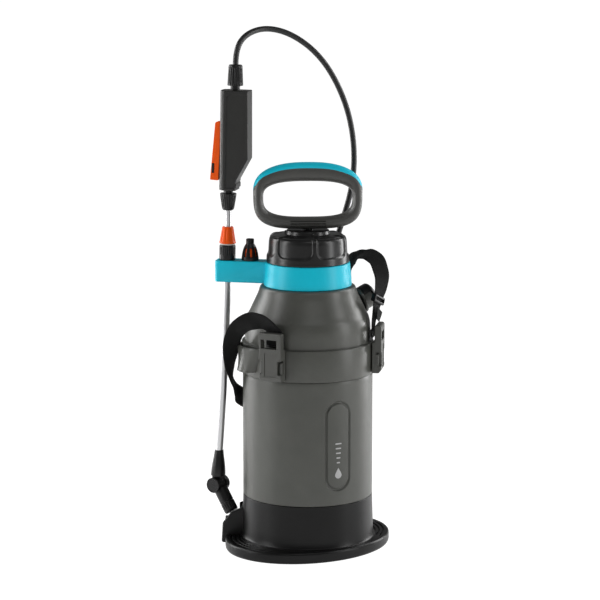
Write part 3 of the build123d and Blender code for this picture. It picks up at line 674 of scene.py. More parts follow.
only(tank)
bpy.ops.object.mode_set(mode="EDIT")
bpy.ops.mesh.select_mode(type="FACE")
bpy.ops.mesh.select_all(action="DESELECT")
bpy.ops.object.mode_set(mode="OBJECT")
panel_turn = math.radians(PANEL_POLAR)
for face in tank.data.polygons:
    middle = face.center
    turn = math.atan2(middle.y, middle.x) - panel_turn
    high = middle.z / MM - PANEL_MIDDLE
    outside = face.normal.dot(Vector((middle.x, middle.y, 0))) > 0
    face.select = outside and abs(turn) < 0.26 and abs(high) < 62 and middle.xy.length > 0.084
bpy.ops.object.mode_set(mode="EDIT")
bpy.ops.mesh.subdivide(number_cuts=5)
bpy.ops.mesh.select_mode(type="VERT")
bpy.ops.object.mode_set(mode="OBJECT")
for corner in tank.data.vertices:
    if corner.select:
        turn = math.atan2(corner.co.y, corner.co.x)
        depth = panel_depth((turn - panel_turn) * TANK_R, corner.co.z / MM - PANEL_MIDDLE)
        radius = (TANK_R - depth) * MM
        corner.co.x = radius * math.cos(turn)
        corner.co.y = radius * math.sin(turn)
bpy.ops.object.shade_smooth_by_angle(angle=math.radians(38))
union_hole = turned("Union hole", [(7.1, 300), (7.1, 360)], sides=48)
place(union_hole, Matrix.Translation((UNION_AT[0] * MM, UNION_AT[1] * MM, 0)))
combine(tank, union_hole)
fit(tank, tank_grey, "tank_grey", "tank", "tank_shell")

# A plain pale mark is printed on the panel: a drop, and above it a row of level bars.
MARK_R = TANK_R + 0.12
print_paint = moulded("Pale grey print", 0.42, 0.50, 0.5)


def printed(name, width, height, low):
    """A small printed shape, wrapped on the tank's wall; a width that shrinks to nothing makes a drop."""
    bpy.ops.object.select_all(action="DESELECT")
    bpy.ops.mesh.primitive_circle_add(vertices=48, radius=1, fill_type="NGON")
    shape = bpy.context.object
    shape.name = name
    for index, corner in enumerate(shape.data.vertices):
        x, z = corner.co.x, corner.co.y
        if name == "Printed_drop":
            x *= width / 2 * (1 if z < 0 else (1 - z) ** 0.62)
            z = low + width / 2 + z * (width / 2 if z < 0 else height - width / 2)
        else:
            x = math.copysign(abs(x) ** 0.35, x) * width / 2
            z = low + height / 2 + math.copysign(abs(z) ** 0.35, z) * height / 2
        turn = panel_turn + x / MARK_R
        corner.co = Vector((MARK_R * math.cos(turn), MARK_R * math.sin(turn), z)) * MM
    modified(shape, "Ink", "SOLIDIFY", thickness=0.0002, offset=0)
    fit(shape, print_paint, "natural_plastic", "tank")


printed("Printed_drop", 9.5, 14, 107)
for level in range(5):
    printed(f"Printed_level_{level + 1}", 4.5 + 1.1 * level, 1.7, 127 + 6.2 * level)


# ---------------------------------------------------------------- belt
# Moulded ring that is sprung round the tank below its shoulder, with a thin seam above and below it. Beside
# the left lug it runs out into a hollow scoop.

BELT = (233.8, 274.6)
belt_outline = [(83.2, BELT[0]), (85.4, BELT[0]), (85.9, BELT[0] + 0.5), (86, BELT[0] + 1.2)]
belt_outline += [(86, BELT[1] - 1.2), (85.8, BELT[1] - 0.4), (85.3, BELT[1]), (83.2, BELT[1])]
belt = turned("Belt", belt_outline, sides=192, hollow=True)
scoop_outline = [(2, 0), (10.2, 0), (11, 0.6), (12, 6), (14.8, 15), (18.4, 24), (21, 30), (21.4, 32.5)]
scoop_outline += [(19.6, 32.5), (16.4, 24), (12.6, 14), (9.6, 7), (8, 5), (2, 5)]
scoop = turned("Scoop", scoop_outline, sides=96, hollow=True)
for corner in scoop.data.vertices:
    corner.co.x = corner.co.x * 1.25 - corner.co.z * 0.53
    corner.co.y *= 1.65
place(scoop, upright(181.5, 86.4, 241))
combine(scoop, turned("Tank room", [(84, 230), (84, 290)], sides=192))
soften(scoop, 0.8)
smooth(belt, 30)
join(belt, scoop)
fit(belt, tank_grey, "belt_grey", "tank", "belt_ring")


# ---------------------------------------------------------------- strap lugs
# Two grey lugs clip over the belt. Each has a window for the webbing with a bar over it, a post at one side,
# a tongue in a deep notch on each flank, and a shallow recess down its face. A black sheet behind each window
# is painted shade that stands for the shadow on the lug's inner wall.

lug_grey = moulded("Grey lugs", (0.056, 0.057, 0.051), (0.070, 0.071, 0.063), 0.36, depth=0.00004)
LUG_OUTLINE = [
    (86.4, 235.5), (95.5, 235.5), (99, 240), (99, 296), (97.6, 298.5), (91.5, 298.5), (90, 296.8), (90, 277),
    (86.4, 276),
]  # fmt: skip
for side, polar in (("left", -145), ("right", -35)):
    lug = plate(f"Strap_lug_{side}", LUG_OUTLINE, (-16, 16))
    soften(lug, 1.6, segments=3)
    combine(lug, block("Window", (80, 110), (-13, 10), (278, 289.6)))
    for flank in (-16, 16):
        notch = block("Notch", (90.8, 112), (flank - 5.2, flank + 5.2), (245, 263.4))
        soften(notch, 2.2, segments=4)
        combine(lug, notch)
    combine(lug, block("Face recess", (98.2, 104), (-8, 8), (242, 272)))
    combine(lug, turned("Tank room", [(86.3, 200), (86.3, 277)], sides=192))
    soften(lug, 0.45, segments=2)
    tongues = []
    for flank in (-1, 1):
        span = sorted((12.1 * flank, 15.4 * flank))
        tongue = block("Tongue", (90.4, 95.4), span, (244.6, 260.5))
        soften(tongue, 0.7)
        tongues.append(tongue)
    join(lug, *tongues)
    place(lug, upright(polar))
    # Painted shade: this black sheet darkens the window, where the lug's inner wall lies in shadow.
    window_shade = block(f"Lug_window_shade_{side}", (83.2, 84.2), (-14, 13), (277, 291))
    soften(window_shade, 0.3, segments=2)
    place(window_shade, upright(polar))
    fit(window_shade, hose_rubber, "strap_black", "tank")
    fit(lug, lug_grey, "lug_grey", "tank", f"strap_lug_{side}")


# ---------------------------------------------------------------- collar
# Bright blue polypropylene collar, pressed on the neck. A hollow arm on one side carries the parked lance in
# a clip at its end, and a peg on the arm holds the spare nozzle.

ARM_HALF = 13.0
ARM_Z = (348.6, 376.6)


def round_edges(piece, width, segments, wanted):
    """Rounds only the edges whose two ends pass this test."""
    only(piece)
    bpy.ops.object.mode_set(mode="EDIT")
    bpy.ops.mesh.select_mode(type="EDGE")
    bpy.ops.mesh.select_all(action="DESELECT")
    bpy.ops.object.mode_set(mode="OBJECT")
    for edge in piece.data.edges:
        edge.select = wanted(*[piece.data.vertices[i].co for i in edge.vertices])
    bpy.ops.object.mode_set(mode="EDIT")
    bpy.ops.mesh.bevel(offset=width * MM, segments=segments)
    bpy.ops.mesh.select_mode(type="VERT")
    bpy.ops.object.mode_set(mode="OBJECT")


collar_cyan = moulded(
    "Bright blue collar", (0.0, 0.52, 0.68), (0.002, 0.57, 0.74), 0.38, depth=0.00002, Specular_IOR_Level=0.35
)
collar_outline = [(54.2, 347.4), (56.7, 347.4), (57.2, 348.2), (57, 350), (54.9, 375.4), (54.5, 376.8)]
collar_outline += [(53.7, 377.4), (41.4, 377.4), (41, 377), (41, 374.4), (51.6, 374.4)]
collar = turned("Collar", collar_outline, sides=192, hollow=True)
arm = block("Arm", (50, 121.6), (-ARM_HALF, ARM_HALF), ARM_Z)
round_edges(arm, 5, 6, lambda a, b: a.x > 0.1 and b.x > 0.1 and abs(a.z - b.z) > 0.01)
soften(arm, 1.1, segments=3)
combine(arm, block("Underside", (60, 97), (3 - ARM_HALF, ARM_HALF - 3), (300, 373.6)))
place(arm, upright(142.5))
combine(arm, turned("Neck room", [(54.4, 300), (54.4, 374.2)], sides=192))
clip_bore = turned("Clip bore", [(5.7, -70), (5.7, 10)], sides=48)
place(clip_bore, LANCE)
combine(arm, clip_bore)
clip_mouth = block("Clip mouth", (-5, 5), (-22, 0), (-70, 10))
place(clip_mouth, LANCE)
combine(arm, clip_mouth)
clip_seat = turned("Clip seat", [(11, -16.2), (11, 14)], sides=64)
place(clip_seat, LANCE)
combine(arm, clip_seat)
peg = turned("Peg", [(4, 370), (4, 388.4), (3.2, 389.6)], sides=32)
place(peg, upright(142.5, 76.7))
smooth(collar, 35)
smooth(arm, 35)
join(collar, arm, peg)
fit(collar, collar_cyan, "collar_cyan", "tank", "collar")


# ---------------------------------------------------------------- spare nozzle
# Black bell with eight slots, pushed on the collar's peg. An orange swirl insert shows through the slots.

SPARE = upright(142.5, 76.7, 376.9)
nut_black = moulded(
    "Black ribbed mouldings", 0.006, 0.010, 0.30, depth=0.00003, spread=0.12, Specular_IOR_Level=0.35
)
orange = moulded("Signal orange", (0.90, 0.090, 0.001), (0.99, 0.115, 0.002), 0.42, Specular_IOR_Level=0.25)
bell_outline = [(4.4, 0), (10.9, 0), (11.2, 0.5), (11.2, 3.4), (10.9, 5), (10.3, 9), (9.4, 13), (8.2, 16.6)]
bell_outline += [(6.6, 19.6), (5.4, 21.4), (5.2, 22.6), (5.2, 27.5), (4.8, 28), (3.5, 28), (3.5, 16)]
bell_outline += [(4.4, 15)]
bell = turned("Spare_nozzle", bell_outline, sides=96, hollow=True)
for slot_turn in range(0, 360, 45):
    slot_cut = block("Slot", (4.9, 14), (-1.35, 1.35), (4.6, 17.4))
    soften(slot_cut, 1.0)
    place(slot_cut, Matrix.Rotation(math.radians(slot_turn + 20), 4, "Z"))
    combine(bell, slot_cut)
for quarter in range(4):
    cross = block("Cross cut", (3.8, 8), (-1.1, 1.1), (23.6, 30))
    place(cross, Matrix.Rotation(math.radians(90 * quarter), 4, "Z"))
    combine(bell, cross)
soften(bell, 0.3, segments=2)
place(bell, SPARE)
fit(bell, nut_black, "nut_black", "spare_nozzle", "spare_nozzle")
insert_outline = [(5.3, 2), (8.7, 2), (8.9, 6), (8.3, 11), (7.1, 15.4), (5.3, 16)]
insert = turned("Spare_insert", insert_outline, sides=48, hollow=True)
soften(insert, 0.3, segments=2)
place(insert, SPARE)
fit(insert, orange, "signal_orange", "spare_nozzle", "spare_insert")


# ---------------------------------------------------------------- pump cap
# Semi-gloss black screw cap. Six panels for the fingers are sunk in its side between narrow ridges, with
# round lower corners, and a raised boss with three small lugs guides the pump rod.

cap_black = moulded("Semi-gloss black cap", 0.005, 0.008, 0.30, grain=700.0, depth=0.00003, spread=0.1)
CAP_LOW = 378.0
PANEL_TURN = math.radians(60)
PANEL_CENTRE = math.radians(-75.5)
RIDGE_HALF = 1.9
side_line = [(53.9, 378.2), (53.9, 379.8), (53.7, 381.2)]
side_line += [(53.7 - 0.055 * row, 381.2 + 0.95 * row) for row in range(1, 26)]
shoulder = eased_line([(52.3, 405), (51.7, 408.4), (50.2, 411.2), (47.6, 413.1), (43.6, 414), (38, 414.2)], 3)
top_line = [(34, 413.7), (31, 413.9), (29.4, 414), (28.6, 414.4), (27.8, 418.4), (27.2, 419.2), (26.4, 419.4)]
top_line += [(9, 419.4), (7.6, 419), (7, 418.4), (7, 407), (24, 407), (24, 389.3), (46.6, 389.3), (46.6, 378)]
cap = turned("Pump_cap", side_line + shoulder[1:] + top_line, sides=360, hollow=True)
for corner in cap.data.vertices:
    height = corner.co.z / MM
    radius = corner.co.xy.length / MM
    if radius < 33 or height < 383:
        continue
    turn = math.atan2(corner.co.y, corner.co.x) - PANEL_CENTRE
    turn = (turn + PANEL_TURN / 2) % PANEL_TURN - PANEL_TURN / 2
    across = 26.2 - RIDGE_HALF - abs(turn) * 50
    up = height - 386.5
    if across < 10 and up < 10:
        inside = 10 - math.hypot(max(10 - across, 0), max(10 - up, 0))
    else:
        inside = min(across, up)
    sunk = 1.9 * ease(0, 2.4, inside)
    lid = ease(412.6, 409, height) if radius < 47 else 1
    fade = ease(34, 40, radius)
    if height > 411:
        corner.co.z -= 0.9 * ease(0, 2.2, inside) * fade * MM
    shrink = 1 - sunk * (0.3 + 0.7 * lid) * fade / radius
    corner.co.x *= shrink
    corner.co.y *= shrink
soften(cap, 0.3, segments=2, angle=45, sharp=50)
cap_lugs = []
for third in range(3):
    cap_lug = block("Cap lug", (27, 30.4), (-4, 4), (413.2, 417.6))
    soften(cap_lug, 0.8)
    place(cap_lug, upright(-95 + 120 * third))
    cap_lugs.append(cap_lug)
join(cap, *cap_lugs)
fit(cap, cap_black, "cap_black", "cap", "pump_cap")


# ---------------------------------------------------------------- pump
# The pump hangs in the tank from its flange: a natural plastic barrel, a rod with a sealed piston, and a flap
# valve at the foot. These parts keep their shapes and only show when the pump is lifted out.

natural = moulded("Natural plastic", (0.55, 0.55, 0.51), (0.63, 0.63, 0.59), 0.42, depth=0.00002)
seal = moulded("Black rubber", 0.012, 0.020, 0.55)
dress(natural, "pump_barrel", "piston", "rod_guide", "dip_tube", "dip_filter", "hose_union")
dress(natural, "clamp_collet", "relief_stem")
dress(seal, "neck_gasket", "foot_valve", "piston_seal")


# ---------------------------------------------------------------- pump handle
# One closed D-shaped loop with a soft rounded section, in dark grey. A bright blue soft inlay wraps its top
# and runs out down the sides, and three short grooves cross the foot of the loop.

HANDLE_TURN = math.radians(-23)
HANDLE_MID = 468.5
HANDLE_Z = (420.5, 506.8)
HANDLE_HALF = 70.5
HOLE_MID = 462.0
HOLE_Z = (436.0, 482.4)
HOLE_HALF = 57.6
HANDLE_DEPTH = 13.0
LOOP_STEPS = 160
RING_STEPS = 48
grip_grey = moulded("Soft dark grip", (0.050, 0.050, 0.046), (0.062, 0.062, 0.057), 0.44, depth=0.00004)
inlay_cyan = moulded(
    "Bright blue inlay", (0.001, 0.58, 0.76), (0.003, 0.63, 0.82), 0.42, Specular_IOR_Level=0.35
)


def loop_point(turn, half, z, middle, low_power, high_power):
    """A point on a bulging closed curve, squarer below its widest height than above it."""
    upper = math.sin(turn) >= 0
    power = 2 / (high_power if upper else low_power)
    reach = z[1] - middle if upper else middle - z[0]
    x = math.copysign(abs(math.cos(turn)) ** power, math.cos(turn)) * half
    return Vector((x, 0, math.copysign(abs(math.sin(turn)) ** power, math.sin(turn)) * reach + middle))


def loop_skin(turn, ring, proud):
    """A point on the handle's skin: round the loop by turn, and round its section by ring."""
    out = loop_point(turn, HANDLE_HALF, HANDLE_Z, HANDLE_MID, 3.6, 2.45)
    inside = loop_point(turn, HOLE_HALF, HOLE_Z, HOLE_MID, 3.2, 2.8)
    middle, half = (out + inside) / 2, (out - inside) / 2
    half *= 1 + proud / half.length
    round_x = math.copysign(abs(math.cos(ring)) ** 0.88, math.cos(ring))
    round_y = math.copysign(abs(math.sin(ring)) ** 0.88, math.sin(ring))
    return (middle + half * round_x + Vector((0, round_y * (HANDLE_DEPTH + proud), 0))) * MM


bpy.ops.object.select_all(action="DESELECT")
bpy.ops.mesh.primitive_torus_add(
    major_radius=0.06, minor_radius=0.012, major_segments=LOOP_STEPS, minor_segments=RING_STEPS
)
grip = bpy.context.object
grip.name = "Handle_grip"
for index, corner in enumerate(grip.data.vertices):
    step, ring = divmod(index, RING_STEPS)
    turn = math.tau * (step + 0.5) / LOOP_STEPS
    corner.co = loop_skin(turn, math.tau * ring / RING_STEPS, 0)
face_out(grip)
for row in range(3):
    for face_side in (-1, 1):
        depth = sorted((9.6 * face_side, 20 * face_side))
        low = 424.2 + 3.3 * row
        groove = block("Groove", (-23, 23), depth, (low, low + 1.3))
        soften(groove, 0.6, segments=2)
        combine(grip, groove)
smooth(grip, 40)
place(grip, Matrix.Rotation(HANDLE_TURN, 4, "Z"))
fit(grip, grip_grey, "grip_grey", "plunger", "handle_grip")

INLAY_TURN = (math.radians(1.4), math.radians(178.6))
INLAY_STEPS = 120
INLAY_ROWS = 24
bpy.ops.object.select_all(action="DESELECT")
bpy.ops.mesh.primitive_grid_add(x_subdivisions=INLAY_ROWS, y_subdivisions=INLAY_STEPS, size=1)
inlay = bpy.context.object
inlay.name = "Handle_inlay"
for index, corner in enumerate(inlay.data.vertices):
    step, row = divmod(index, INLAY_ROWS + 1)
    share = step / INLAY_STEPS
    turn = INLAY_TURN[0] + (INLAY_TURN[1] - INLAY_TURN[0]) * share
    near_end = min(share, 1 - share)
    spread = 0.1 + 0.75 * ease(0, 0.08, near_end) + 0.28 * ease(0.04, 0.3, near_end)
    ring = spread * (2 * row / INLAY_ROWS - 1)
    corner.co = loop_skin(turn, ring, 0.22)
face_out(inlay)
modified(inlay, "Skin", "SOLIDIFY", thickness=0.0008, offset=-1)
smooth(inlay, 50)
place(inlay, Matrix.Rotation(HANDLE_TURN, 4, "Z"))
fit(inlay, inlay_cyan, "inlay_cyan", "plunger", "handle_inlay")


# ---------------------------------------------------------------- spray gun
# Two near-black shells meet down the middle and are screwed together from one side. Each has a rounded front
# edge and a sunken side panel. A ribbed nut at each end clamps the hose and the lance.

gun_grey = moulded(
    "Gun grey", (0.013, 0.013, 0.012), (0.018, 0.018, 0.016), 0.33, grain=1300.0, depth=0.00005
)
GUN_OUTLINE = [(10.6, 76), (10.6, 205.6), (-26.8, 205.6), (-28.2, 117.5), (-13.4, 90), (-13.4, 76)]
GUN_PANEL = [(1.8, 79)]
for step in range(7):
    turn = step * math.pi / 12
    GUN_PANEL.append((-3.7 + 5.5 * math.cos(turn), 195 + 5.5 * math.sin(turn)))
GUN_PANEL += [(-24.4, 200.5), (-25.3, 119), (-11.4, 92.5), (-10.8, 79)]
GUN_SCREWS = ((-20, 192), (-21, 124), (5, 180))


def gun_shell(name, side):
    """One half of the gun: a plate with rounded edges, cut off at the split, with a sunken side panel."""
    shell = plate(name, GUN_OUTLINE, (-5 * side, 13.5 * side))
    round_edges(shell, 7.8, 9, lambda a, b: min(a.y * side, b.y * side) > 0.013 and min(a.x, b.x) > 0.0105)
    soften(shell, 1.0, segments=3, angle=50)
    combine(shell, block("Other half", (-50, 50), sorted((0, -20 * side)), (50, 230)))
    panel = plate("Panel", GUN_PANEL, (12.2 * side, 20 * side))
    soften(panel, 0.5, segments=2, angle=50)
    combine(shell, panel)
    notch = turned("Notch", [(2.6, -20), (2.6, 20)], sides=48)
    place(notch, Matrix.Translation((-0.0152, 0, 0.0863)) @ Matrix.Rotation(math.radians(90), 4, "X"))
    combine(shell, notch)
    combine(shell, block("Foot step", (-20, -11.6), (-20, 20), (70, 79.5)))
    combine(shell, block("Trigger slot", (4, 20), (-7.2, 7.2), (84, 167)))
    for end, x in ((190, -7.3), (60, 0)):
        bore = turned("Bore", [(6.3, end), (6.3, end + 32)], sides=48)
        place(bore, Matrix.Translation((x * MM, 0, 0)))
        combine(shell, bore)
    return shell


front_shell = gun_shell("Gun_shell_front", 1)
back_shell = gun_shell("Gun_shell_back", -1)
for x, z in GUN_SCREWS:
    well = turned("Screw well", [(3.2, 0), (3.2, 6)], sides=32)
    place(well, Matrix.Translation((x * MM, -0.0105, z * MM)) @ Matrix.Rotation(math.radians(90), 4, "X"))
    combine(back_shell, well)
for shell in (front_shell, back_shell):
    soften(shell, 0.4, segments=2, angle=40, sharp=45)
    place(shell, LANCE)
fit(front_shell, gun_grey, "gun_grey", "gun", "gun_shell_front")
fit(back_shell, gun_grey, "gun_grey", "gun", "gun_shell_back")
# Painted shade: the pump rod is dressed black so that the gap between the handle's foot and the cap stays
# dark.
dress(nut_black, "gun_valve", "pump_rod")


def ribbed(name, outline, count, depth, low, high, sides=None):
    """A turned nut with rounded ribs up its side between two heights."""
    nut = turned(name, outline, sides=sides or count * 8, hollow=True)
    for corner in nut.data.vertices:
        height = corner.co.z / MM
        radius = corner.co.xy.length / MM
        if low <= height <= high and radius > 5.5:
            wave = abs(math.cos(math.atan2(corner.co.y, corner.co.x) * count / 2))
            sunk = depth * (1 - wave) ** 1.5 * ease(low, low + 1, height) * ease(high, high - 1, height)
            corner.co.x *= 1 - sunk / radius
            corner.co.y *= 1 - sunk / radius
    return nut


def nut(name, outline, ribs, where, material, slot, body, sides=None, edge=0.3):
    """A finished ribbed nut, put in its place. Ribs are their count, depth and lowest and highest place."""
    piece = ribbed(name, outline, *ribs, sides=sides)
    soften(piece, edge, segments=2, angle=40, sharp=45)
    place(piece, where)
    fit(piece, material, slot, body, name.lower())


hose_nut_outline = [(6.5, 211.4), (9.9, 211.4), (10.2, 212), (10.1, 215)]
hose_nut_outline += [(10.1 - 0.05 * row, 215 + row) for row in range(1, 21)]
hose_nut_outline += [(8.9, 236.4), (8.5, 237.7), (8, 238.2), (4, 238.2), (3.9, 224), (6.5, 224)]
hose_end = LANCE @ Matrix.Translation((-0.0073, 0, 0))
nut("Hose_nut", hose_nut_outline, (18, 0.9, 213.5, 235), hose_end, nut_black, "nut_black", "gun")
lance_nut_outline = [(4.1, 49), (5.4, 49), (6.6, 49.5), (7.5, 50.6), (8.2, 52.8)]
lance_nut_outline += [(8.2 + 0.155 * row, 52.8 + row) for row in range(1, 16)]
lance_nut_outline += [(10.7, 69.2), (10.7, 71), (10.3, 71.4), (6.5, 71.4), (6.5, 55.8), (4.1, 55.8)]
nut("Lance_nut", lance_nut_outline, (20, 0.8, 53, 70), LANCE, nut_black, "nut_black", "gun")


# ---------------------------------------------------------------- trigger
# Long bright orange trigger on a steel pin, with a small black cross bolt through its foot that locks it.

TRIGGER_OUTLINE = [
    (9.8, 152), (12.4, 88.6), (13, 88), (22.6, 88.4), (23.4, 89.4), (17.5, 162.4), (16.4, 163.8), (12, 165),
    (8, 164.5), (3, 163), (3, 157),
]  # fmt: skip
trigger = plate("Trigger", TRIGGER_OUTLINE, (-5.8, 5.8))
soften(trigger, 1.3, segments=3)
combine(trigger, block("Bolt way", (17.9, 21.5), (-20, 20), (97.4, 110.4)))
pin_way = turned("Pin way", [(1.6, -20), (1.6, 20)], sides=32)
place(pin_way, Matrix.Translation((0.0065, 0, 0.16)) @ Matrix.Rotation(math.radians(90), 4, "X"))
combine(trigger, pin_way)
soften(trigger, 0.25, segments=2)
place(trigger, LANCE)
fit(trigger, orange, "signal_orange", "trigger", "trigger")
bolt = block("Trigger_lock", (18.0, 21.4), (-6.4, 6.4), (97.5, 110.3))
soften(bolt, 0.6, segments=3)
dots = []
for face_side in (-1, 1):
    dot = turned("Dot", [(1.3, 6.1), (1.3, 6.6), (1, 6.75)], sides=32)
    place(dot, Matrix.Translation((0.0197, 0, 0.104)) @ Matrix.Rotation(math.radians(90 * face_side), 4, "X"))
    dots.append(dot)
join(bolt, *dots)
place(bolt, LANCE)
fit(bolt, nut_black, "nut_black", "trigger_lock", "trigger_lock")


# ---------------------------------------------------------------- metal parts
# Drawn and polished aluminium tubes of the telescopic lance, steel pins and springs, and zinc-plated screws.


def metal(name, colour, rough, along, across):
    """Polished metal with fine lines drawn along Z."""
    material, shader, start = finish_of(name, Metallic=1.0, Base_Color=(*colour, 1))
    place_in = start.node("TexCoord", out="Object")
    drawn = start.node("Mapping", {"Vector": place_in, "Scale": (across, across, along)})
    lines = start.node("TexNoise", {"Vector": drawn, "Scale": 1.0, "Detail": 3.0})
    smears = start.node("TexNoise", {"Vector": place_in, "Scale": 60.0, "Detail": 4.0})
    bump = start.node("Bump", {"Strength": 0.5, "Distance": 0.00001, "Height": lines}, out="Normal")
    links = material.node_tree.links
    links.new((rough + lines * 0.08 + smears * 0.08).output, shader.inputs["Roughness"])
    links.new(bump.output, shader.inputs["Normal"])
    return material


aluminium = metal("Drawn aluminium", (0.70, 0.70, 0.71), 0.26, 18.0, 2400.0)
steel = metal("Spring steel", (0.56, 0.57, 0.58), 0.18, 900.0, 900.0)
dress(aluminium, "lance_inner_tube", "lance_outer_tube")
dress(nut_black, "elbow_pin")
dress(steel, "valve_stem", "trigger_pin", "trigger_spring", "relief_spring", "gun_screws")


# ---------------------------------------------------------------- lance clamp
# The lance's inner tube slides in the outer one. A black ribbed collar on the outer tube carries a split
# collet, a bright orange nut closes it, and a pale ring shows between the two.

collar_nut_outline = [(5.3, -16), (10.3, -16), (10.6, -15.6)]
collar_nut_outline += [(10.6, -15.6 + row) for row in range(1, 18)]
collar_nut_outline += [(10.5, 2.4), (9.7, 3.4), (9.2, 3.8), (6.5, 3.8), (6.5, -3.4), (5.3, -3.4)]
nut("Clamp_collar", collar_nut_outline, (22, 0.75, -9, 2.4), LANCE, nut_black, "nut_black", "tank")
ring_outline = [(6.8, 3.9), (9.6, 3.9), (9.9, 4.2), (9.9, 5.4), (9.6, 5.7), (6.8, 5.7)]
pale_ring = turned("Clamp_ring", ring_outline, hollow=True)
soften(pale_ring, 0.2, segments=2)
place(pale_ring, LANCE)
fit(pale_ring, natural, "natural_plastic", "tank")
clamp_outline = [(6.7, 5.8), (10.5, 5.8), (10.9, 6.2), (10.9, 7.2), (10.5, 8.4)]
clamp_outline += [(10.5 - 0.17 * row, 8.4 + row) for row in range(1, 17)]
clamp_outline += [(7.5, 25.9), (7.1, 27), (6.5, 27.4), (4.2, 27.4), (4.2, 22.5), (6.7, 15)]
nut("Clamp_nut", clamp_outline, (10, 0.8, 8, 26), LANCE, orange, "signal_orange", "clamp_nut", sides=120)


# ---------------------------------------------------------------- elbow and nozzle
# Black elbow at the foot of the lance: a cone round the tube ends in a round knuckle, two cheeks turn on it
# and carry the stem with its adjustable cap, which stands in the foot's pocket.

PIVOT_POLAR = math.radians(31)
NOZZLE_TILT = math.radians(32.6)
PIVOT = ARM_OUT * 0.1213 + Vector((0, 0, 0.075))
ACROSS = Vector((math.cos(PIVOT_POLAR), math.sin(PIVOT_POLAR), 0))
SIDEWAYS = Vector((math.sin(PIVOT_POLAR), -math.cos(PIVOT_POLAR), 0))
DOWN_STEM = Vector((0, 0, -math.cos(NOZZLE_TILT))) + SIDEWAYS * math.sin(NOZZLE_TILT)
ELBOW = Matrix.Translation(PIVOT) @ axes(ACROSS, Vector((0, 0, 1)))
STEM = Matrix.Translation(PIVOT) @ axes(ACROSS, DOWN_STEM)


def disc(name, radius, x, dish=0.0):
    """A round cheek on the pivot, with its outer face dished behind a narrow rim."""
    width = x[1] - x[0]
    outline = [(radius - 0.3, 0), (radius, 0.4), (radius, width - 0.8), (radius - 0.7, width)]
    if dish:
        outline += [(radius - 1.7, width), (radius - 2.2, width - dish)]
    piece = turned(name, outline, sides=72)
    smooth(piece, 30)
    return piece


cone_line = eased_line([(9.6, 12), (9.5, 17), (8.9, 24), (7.6, 33), (6.4, 41), (5.9, 45.6), (5.7, 46.5)], 3)
cone = turned("Elbow_body", cone_line, sides=72)
for corner in cone.data.vertices:
    share = (corner.co.z - 0.012) / 0.0345
    shift = ARM_OUT * (-0.0001 - 0.0015 * share)
    corner.co += PIVOT + shift
knuckle = disc("Knuckle", 9.6, (0, 8.4))
place(knuckle, ELBOW @ Matrix.Translation((-0.0042, 0, 0)) @ Matrix.Rotation(math.radians(90), 4, "Y"))
neck = block("Neck", (-4.2, 4.2), (-7, 7), (0, 14))
soften(neck, 0.6)
place(neck, ELBOW)
smooth(cone, 35)
join(cone, knuckle, neck)
fit(cone, nut_black, "nut_black", "tank", "elbow_body")
arm_parts = []
for face_side in (-1, 1):
    cheek = disc("Cheek", 10.2, (4.9, 13), dish=0.7)
    turn = Matrix.Rotation(math.radians(90 * face_side), 4, "Y")
    place(cheek, STEM @ turn @ Matrix.Translation((0, 0, 0.0049)))
    arm_parts.append(cheek)
stem_outline = [(8.4, 3), (9.2, 4), (9.2, 25.6), (8.8, 27), (5.4, 27), (5.4, 36)]
stem = turned("Nozzle_arm", stem_outline, sides=72)
room = turned("Knuckle room", [(11.2, -4.7), (11.2, 4.7)], sides=64)
place(room, Matrix.Rotation(math.radians(90), 4, "Y"))
combine(stem, room)
soften(stem, 0.4, segments=2)
place(stem, STEM)
join(stem, *arm_parts)
fit(stem, nut_black, "nut_black", "nozzle_arm", "nozzle_arm")
tip_outline = [(5.5, 27.4), (9, 27.4), (9.3, 27.8)]
tip_outline += [(9.3, 27.8 + row) for row in range(1, 12)]
tip_outline += [(9.0, 39.8), (8.2, 41), (3.4, 41), (3.2, 41.6), (3.0, 46.2), (2.7, 46.5), (0.8, 46.5)]
tip_outline += [(0.8, 37), (5.5, 37)]
nut("Nozzle_cap", tip_outline, (16, 0.7, 29, 38), STEM, nut_black, "nut_black", "nozzle_cap", edge=0.25)


# ---------------------------------------------------------------- relief valve and hose union
# A grey flanged boss on the shoulder holds the relief valve, with a black pull knob whose hood covers its
# upper half. Behind the collar a ribbed black nut clamps the hose on its union.

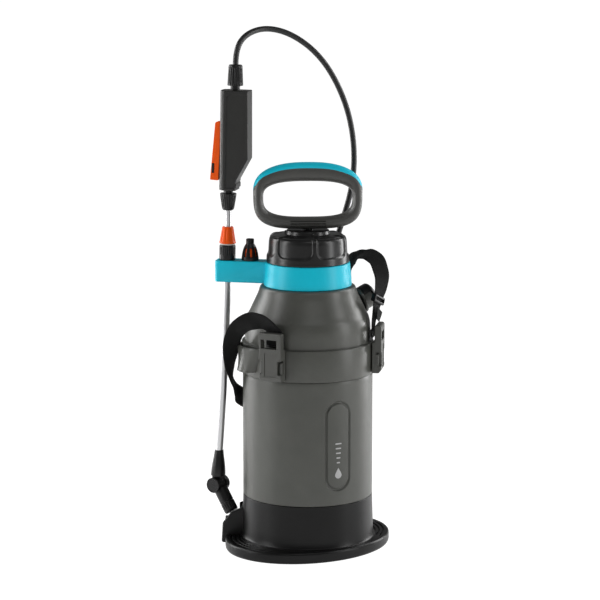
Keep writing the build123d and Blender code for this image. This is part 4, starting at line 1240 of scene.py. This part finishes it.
RELIEF_LIFT = math.radians(24.4)
RELIEF_OUT = Vector((math.cos(RELIEF_LIFT), 0, math.sin(RELIEF_LIFT)))
RELIEF = Matrix.Translation((0.0736, 0, 0.3194)) @ axes(Vector((0, 1, 0)), RELIEF_OUT)
boss_outline = [(3, -10), (9, -10), (9, 0.6), (17.1, 1.6), (17.5, 2.2), (17.5, 4.4), (16.9, 5), (15.6, 5)]
boss_outline += [(15, 5.6), (15, 16.4), (14.4, 17), (5.1, 17), (5.1, 14), (6.8, 14), (6.8, 2), (3, 2)]
boss = turned("Relief_boss", boss_outline, sides=192, hollow=True)
smooth(boss, 35)
place(boss, RELIEF)
fit(boss, lug_grey, "lug_grey", "tank", "relief_boss")
hood_turn = Matrix.Rotation(math.radians(-35), 4, "Z")
crown_outline = [(5, 17.5), (15.2, 17.5), (16.4, 18), (16.6, 19), (15.4, 21), (13.6, 22.2), (6, 22.6)]
crown = turned("Relief_knob", crown_outline)
soften(crown, 0.4, segments=2)
hood = turned("Hood", [(15.3, 7), (16.6, 7), (16.6, 18.6), (15.3, 18.6)], sides=96, hollow=True)
combine(hood, block("Lower half", (-30, 30), (-30, -0.5), (0, 40)))
soften(hood, 0.4, segments=2)
join(crown, hood)
place(crown, RELIEF @ hood_turn)
fit(crown, nut_black, "nut_black", "relief_knob", "relief_knob")
union_outline = [(6.2, 346.4), (8.1, 346.4), (8.3, 347), (8.1, 350)]
union_outline += [(8.1 - 0.085 * row, 350 + row) for row in range(1, 16)]
union_outline += [(6.8, 366.6), (6.4, 367.6), (6, 368), (3.9, 368), (3.9, 354), (6.2, 354)]
union_at = Matrix.Translation((UNION_AT[0] * MM, UNION_AT[1] * MM, 0))
nut("Union_nut", union_outline, (14, 0.6, 349, 365), union_at, nut_black, "nut_black", "tank", edge=0.25)


# ---------------------------------------------------------------- strap slide
# Black slide that the webbing is threaded through, near the right lug: a sleeve with a window on each face.

slide_at = Vector(STRAP[ADJUSTER_STATION][0]) * MM
slide_along = Vector(STRAP[ADJUSTER_STATION + 1][0]) - Vector(STRAP[ADJUSTER_STATION - 1][0])
slide_along.normalize()
slide_across = Vector(STRAP[ADJUSTER_STATION][1])
slide_across = (slide_across - slide_along * slide_across.dot(slide_along)).normalized()
slide = block("Strap_adjuster", (-15, 15), (-3.4, 3.4), (-5, 5))
soften(slide, 1.6, segments=4)
combine(slide, block("Webbing way", (-12.7, 12.7), (-2.4, 2.4), (-20, 20)))
combine(slide, block("Window", (-12.7, 12.7), (-20, 20), (-2.2, 2.2)))
soften(slide, 0.35, segments=2, angle=50)
place(slide, Matrix.Translation(slide_at) @ axes(slide_across, slide_along))
fit(slide, base_black, "nut_black", "tank", "strap_adjuster")
